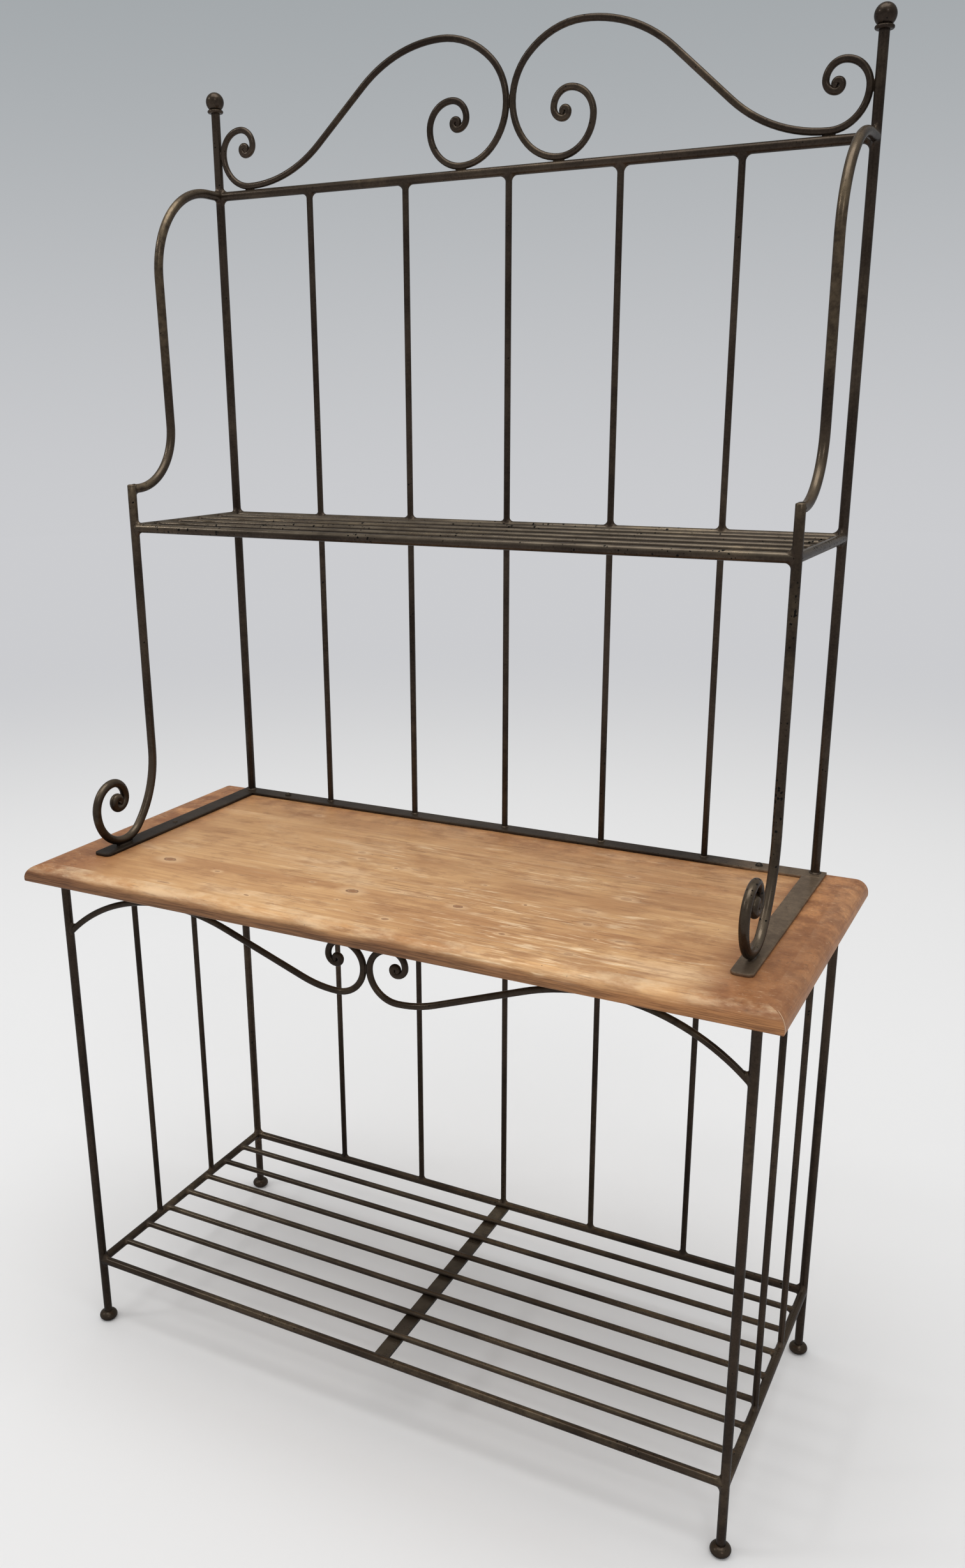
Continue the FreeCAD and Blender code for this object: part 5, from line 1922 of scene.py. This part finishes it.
@dataclass
class Worktop:
    """Pine boards with edge strips mitred round their ends and front."""

    boards: tuple[PineFinish, ...] = (
        PineFinish("pine_board_1", shift=(0.00, 0.00, 0.0), tone=1.03, knots=(
            Knot(-0.078, -0.130, 0.0095, 0.0065), Knot(0.094, -0.116, 0.0075, 0.0050),
            Knot(0.023, -0.206, 0.0050, 0.0036, 0.8), Knot(-0.360, -0.226, 0.0110, 0.0022, 0.7),
            Knot(0.196, -0.182, 0.0045, 0.0026, 0.9), Knot(0.306, -0.206, 0.0060, 0.0038, 0.5),
            Knot(0.353, -0.136, 0.0070, 0.0034, 0.5), Knot(-0.419, -0.136, 0.0105, 0.0065),
            Knot(-0.315, -0.149, 0.0042, 0.0026, 0.7), Knot(-0.212, -0.215, 0.0040, 0.0016, 1.2),
            Knot(-0.080, -0.170, 0.0022, 0.0015, 1.0), Knot(0.319, -0.143, 0.0022, 0.0015, 1.0),
            Knot(0.272, -0.209, 0.1460, 0.0006, 0.6), Knot(-0.154, -0.123, 0.0030, 0.0016, 0.8))),
        PineFinish("pine_board_2", shift=(0.31, 0.20, 0.1), tone=0.99, knots=(
            Knot(-0.141, 0.004, 0.0070, 0.0032, 0.6), Knot(0.180, -0.067, 0.0026, 0.0018, 1.3),
            Knot(0.091, -0.018, 0.0030, 0.0018, 0.7), Knot(0.273, -0.050, 0.0110, 0.0040, 0.4),
            Knot(0.289, -0.097, 0.0060, 0.0040, 0.6), Knot(-0.069, -0.012, 0.0030, 0.0020, 0.8),
            Knot(-0.196, -0.063, 0.0130, 0.0012, 0.6), Knot(0.060, -0.059, 0.1850, 0.0006, 0.5))),
        PineFinish("pine_board_3", shift=(0.77, 0.45, 0.2), tone=0.97, knots=(
            Knot(-0.157, 0.030, 0.0065, 0.0036, 0.5), Knot(0.304, 0.020, 0.0080, 0.0045, 0.5),
            Knot(0.279, 0.115, 0.0055, 0.0026, 0.8), Knot(0.117, 0.104, 0.1980, 0.0006, 0.4))),
        PineFinish("pine_board_4", shift=(1.23, 0.71, 0.3), tone=0.94, knots=(
            Knot(0.222, 0.195, 0.0130, 0.0050, 0.4), Knot(-0.330, 0.170, 0.0050, 0.0030, 0.5))),
    )
    front: PineFinish = PineFinish("pine_front_edge", tone=1.11, edge=EdgeSoil(soiling=1.0, wear=0.55),
                                   knots=(Knot(-0.537, -0.237, 0.0040, 0.0020, 1.0),))
    ends: PineFinish = PineFinish("pine_end_edge", grain=Grain.CROSSWISE, shift=(2.4, 1.3, 0.5), tone=0.95,
                                  edge=EdgeSoil(soiling=0.55, wear=0.06))

    def build(self) -> None:
        """Give each board and strip its own length of grain."""
        for number, finish in enumerate(self.boards, start=1):
            dress(["worktop_board_%d" % number], finish.material())
        dress(["worktop_edging_front"], self.front.material())
        dress(["worktop_edging_left", "worktop_edging_right"], self.ends.material())


@dataclass
class Fixings:
    """Bolts, nuts, washers and wood screws, and the low round heads of the screws in the side straps."""

    steels: Steels
    head_radius: float = 0.0044
    head_heights: tuple[float, float] = (0.0017, 0.0008)
    head_sunk: float = 0.0004
    head_rings: int = 6
    head_points: int = 20
    head_turn: float = 90.0 / 5.5

    def build(self) -> None:
        """Dress the fixings and round the heads of the screws in the side straps."""
        dress(["hutch_bolts", "hutch_nuts_and_washers", "frame_screws"], self.steels[Steel.FIXING])
        dress(["strap_screws"], self.steels[Steel.STRAP])
        self.build_screw_heads()

    def build_screw_heads(self) -> None:
        """Raise a low dome over each strap screw, the left one nearer the front."""
        low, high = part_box("strap_screws")
        inset = (high.x - low.x) / 2 - centre("hutch_upright_right").x
        left = Vector((low.x + inset, low.y + inset, high.z))
        right = Vector((high.x - inset, high.y - inset, high.z))
        around = [unit(360.0 * number / self.head_points).to_3d() for number in range(self.head_points)]
        bm = bmesh.new()
        for foot, height in zip((left, right), self.head_heights):
            rings = [[foot + way * self.head_radius - UP * self.head_sunk for way in around]]
            for number in range(self.head_rings):
                share = unit(self.head_turn * number)
                middle, reach = foot + UP * (height * share.y), self.head_radius * share.x
                rings.append([middle + way * reach for way in around])
            skin(bm, rings)
        add_piece("strap_screw_heads", bm, self.steels[Steel.STRAP])


@dataclass(frozen=True)
class Lamp:
    """Soft square lamp: its place, what it points at, its width and height, and its power in watts."""

    name: str
    place: tuple[float, float, float]
    target: tuple[float, float, float]
    spread: tuple[float, float]
    power: float

    def hang(self) -> None:
        """Add the lamp to the scene."""
        data = bpy.data.lights.new(self.name, "AREA")
        data.shape = "RECTANGLE"
        data.size, data.size_y = self.spread
        data.energy = self.power
        lamp = bpy.data.objects.new(self.name, data)
        lamp.location = self.place
        way = Vector(self.target) - Vector(self.place)
        lamp.rotation_euler = way.to_track_quat("-Z", "Y").to_euler()
        bpy.context.scene.collection.objects.link(lamp)


@dataclass
class Studio:
    """Pale floor, soft light and the camera."""

    floor_reach: float = 16.0
    floor_segments: int = 96
    horizon: Colour = (0.60, 0.605, 0.625)
    zenith: Colour = (0.335, 0.362, 0.378)
    soft_light: Colour = (0.830, 0.830, 0.830)
    sky: Fade = Fade(-0.12, 0.36)
    picture: tuple[int, int] = (1512, 2456)
    focal_pixels: float = 2059.4
    centre_pixels: tuple[float, float] = (708.2, 1288.0)
    sensor: float = 36.0
    eye: tuple[float, float, float] = (0.9120, -1.71205, 1.5754)
    turn: tuple[float, float, float] = (1.84027156, 0.44211042, -0.33178773)
    lamps: tuple[Lamp, ...] = (
        Lamp("overhead_light", (0.1, -0.4, 6.0), (0.0, 0.1, 0.9), (4.6, 3.0), 120.0),
        Lamp("left_light", (-4.4, -2.8, 5.2), (0.0, 0.0, 1.0), (0.8, 0.8), 34.0),
        Lamp("front_light", (3.8, -5.0, 5.4), (0.0, 0.0, 0.9), (1.4, 1.4), 36.0),
    )

    def build(self) -> None:
        """Set up the stage."""
        self.build_camera()
        self.build_floor()
        self.build_world()
        for lamp in self.lamps:
            lamp.hang()
        bpy.context.scene.view_settings.view_transform = "Standard"

    def build_camera(self) -> None:
        """Add the camera, with its lens and shift."""
        width, height = self.picture
        data = bpy.data.cameras.new("camera")
        data.sensor_width = self.sensor
        data.lens = self.focal_pixels * self.sensor / height
        data.shift_x = (width / 2 - self.centre_pixels[0]) / height
        data.shift_y = (self.centre_pixels[1] - height / 2) / height
        camera = bpy.data.objects.new("camera", data)
        axis = Vector(self.turn)
        looking = Matrix.Rotation(axis.length, 3, axis.normalized())
        columns = Matrix((looking[0], -looking[1], -looking[2])).transposed()
        camera.matrix_world = Matrix.Translation(self.eye) @ columns.to_4x4()
        bpy.context.scene.collection.objects.link(camera)
        bpy.context.scene.camera = camera

    def build_floor(self) -> None:
        """Lay the round floor."""
        bm = bmesh.new()
        bmesh.ops.create_circle(bm, cap_ends=True, segments=self.floor_segments, radius=self.floor_reach)
        mesh = bpy.data.meshes.new("floor")
        bm.to_mesh(mesh)
        bm.free()
        floor = bpy.data.objects.new("floor", mesh)
        mesh.materials.append(BackdropFinish("pale_floor", self.horizon).material())
        bpy.context.scene.collection.objects.link(floor)

    def build_world(self) -> None:
        """Light the room evenly, a little darker and bluer higher up where it is seen or reflected."""
        world = bpy.data.worlds.new("room")
        world.use_nodes = True
        bpy.context.scene.world = world
        g = Graph(world.node_tree)
        height = g.parts(g.add("ShaderNodeTexCoord").outputs["Generated"])[2]
        path = g.add("ShaderNodeLightPath").outputs
        seen = g.most(path["Is Glossy Ray"], path["Is Transmission Ray"], path["Is Camera Ray"])
        shown = g.mix(seen, self.soft_light, g.mix(g.fade(height, self.sky), self.horizon, self.zenith))
        g.feed(world.node_tree.nodes["Background"].inputs["Color"], shown)


# ---------------------------------------------------------------- whole rack


def main() -> None:
    """Build the studio and every sub-assembly, in order."""
    logging.basicConfig(level=logging.INFO, format="%(message)s")
    steels = {steel: steel.value.material() for steel in Steel}
    stock = Stock()
    Studio().build()
    Base(stock, steels).build()
    Worktop().build()
    Hutch(stock, steels).build()
    Fixings(steels).build()


if __name__ == "__main__":
    main()
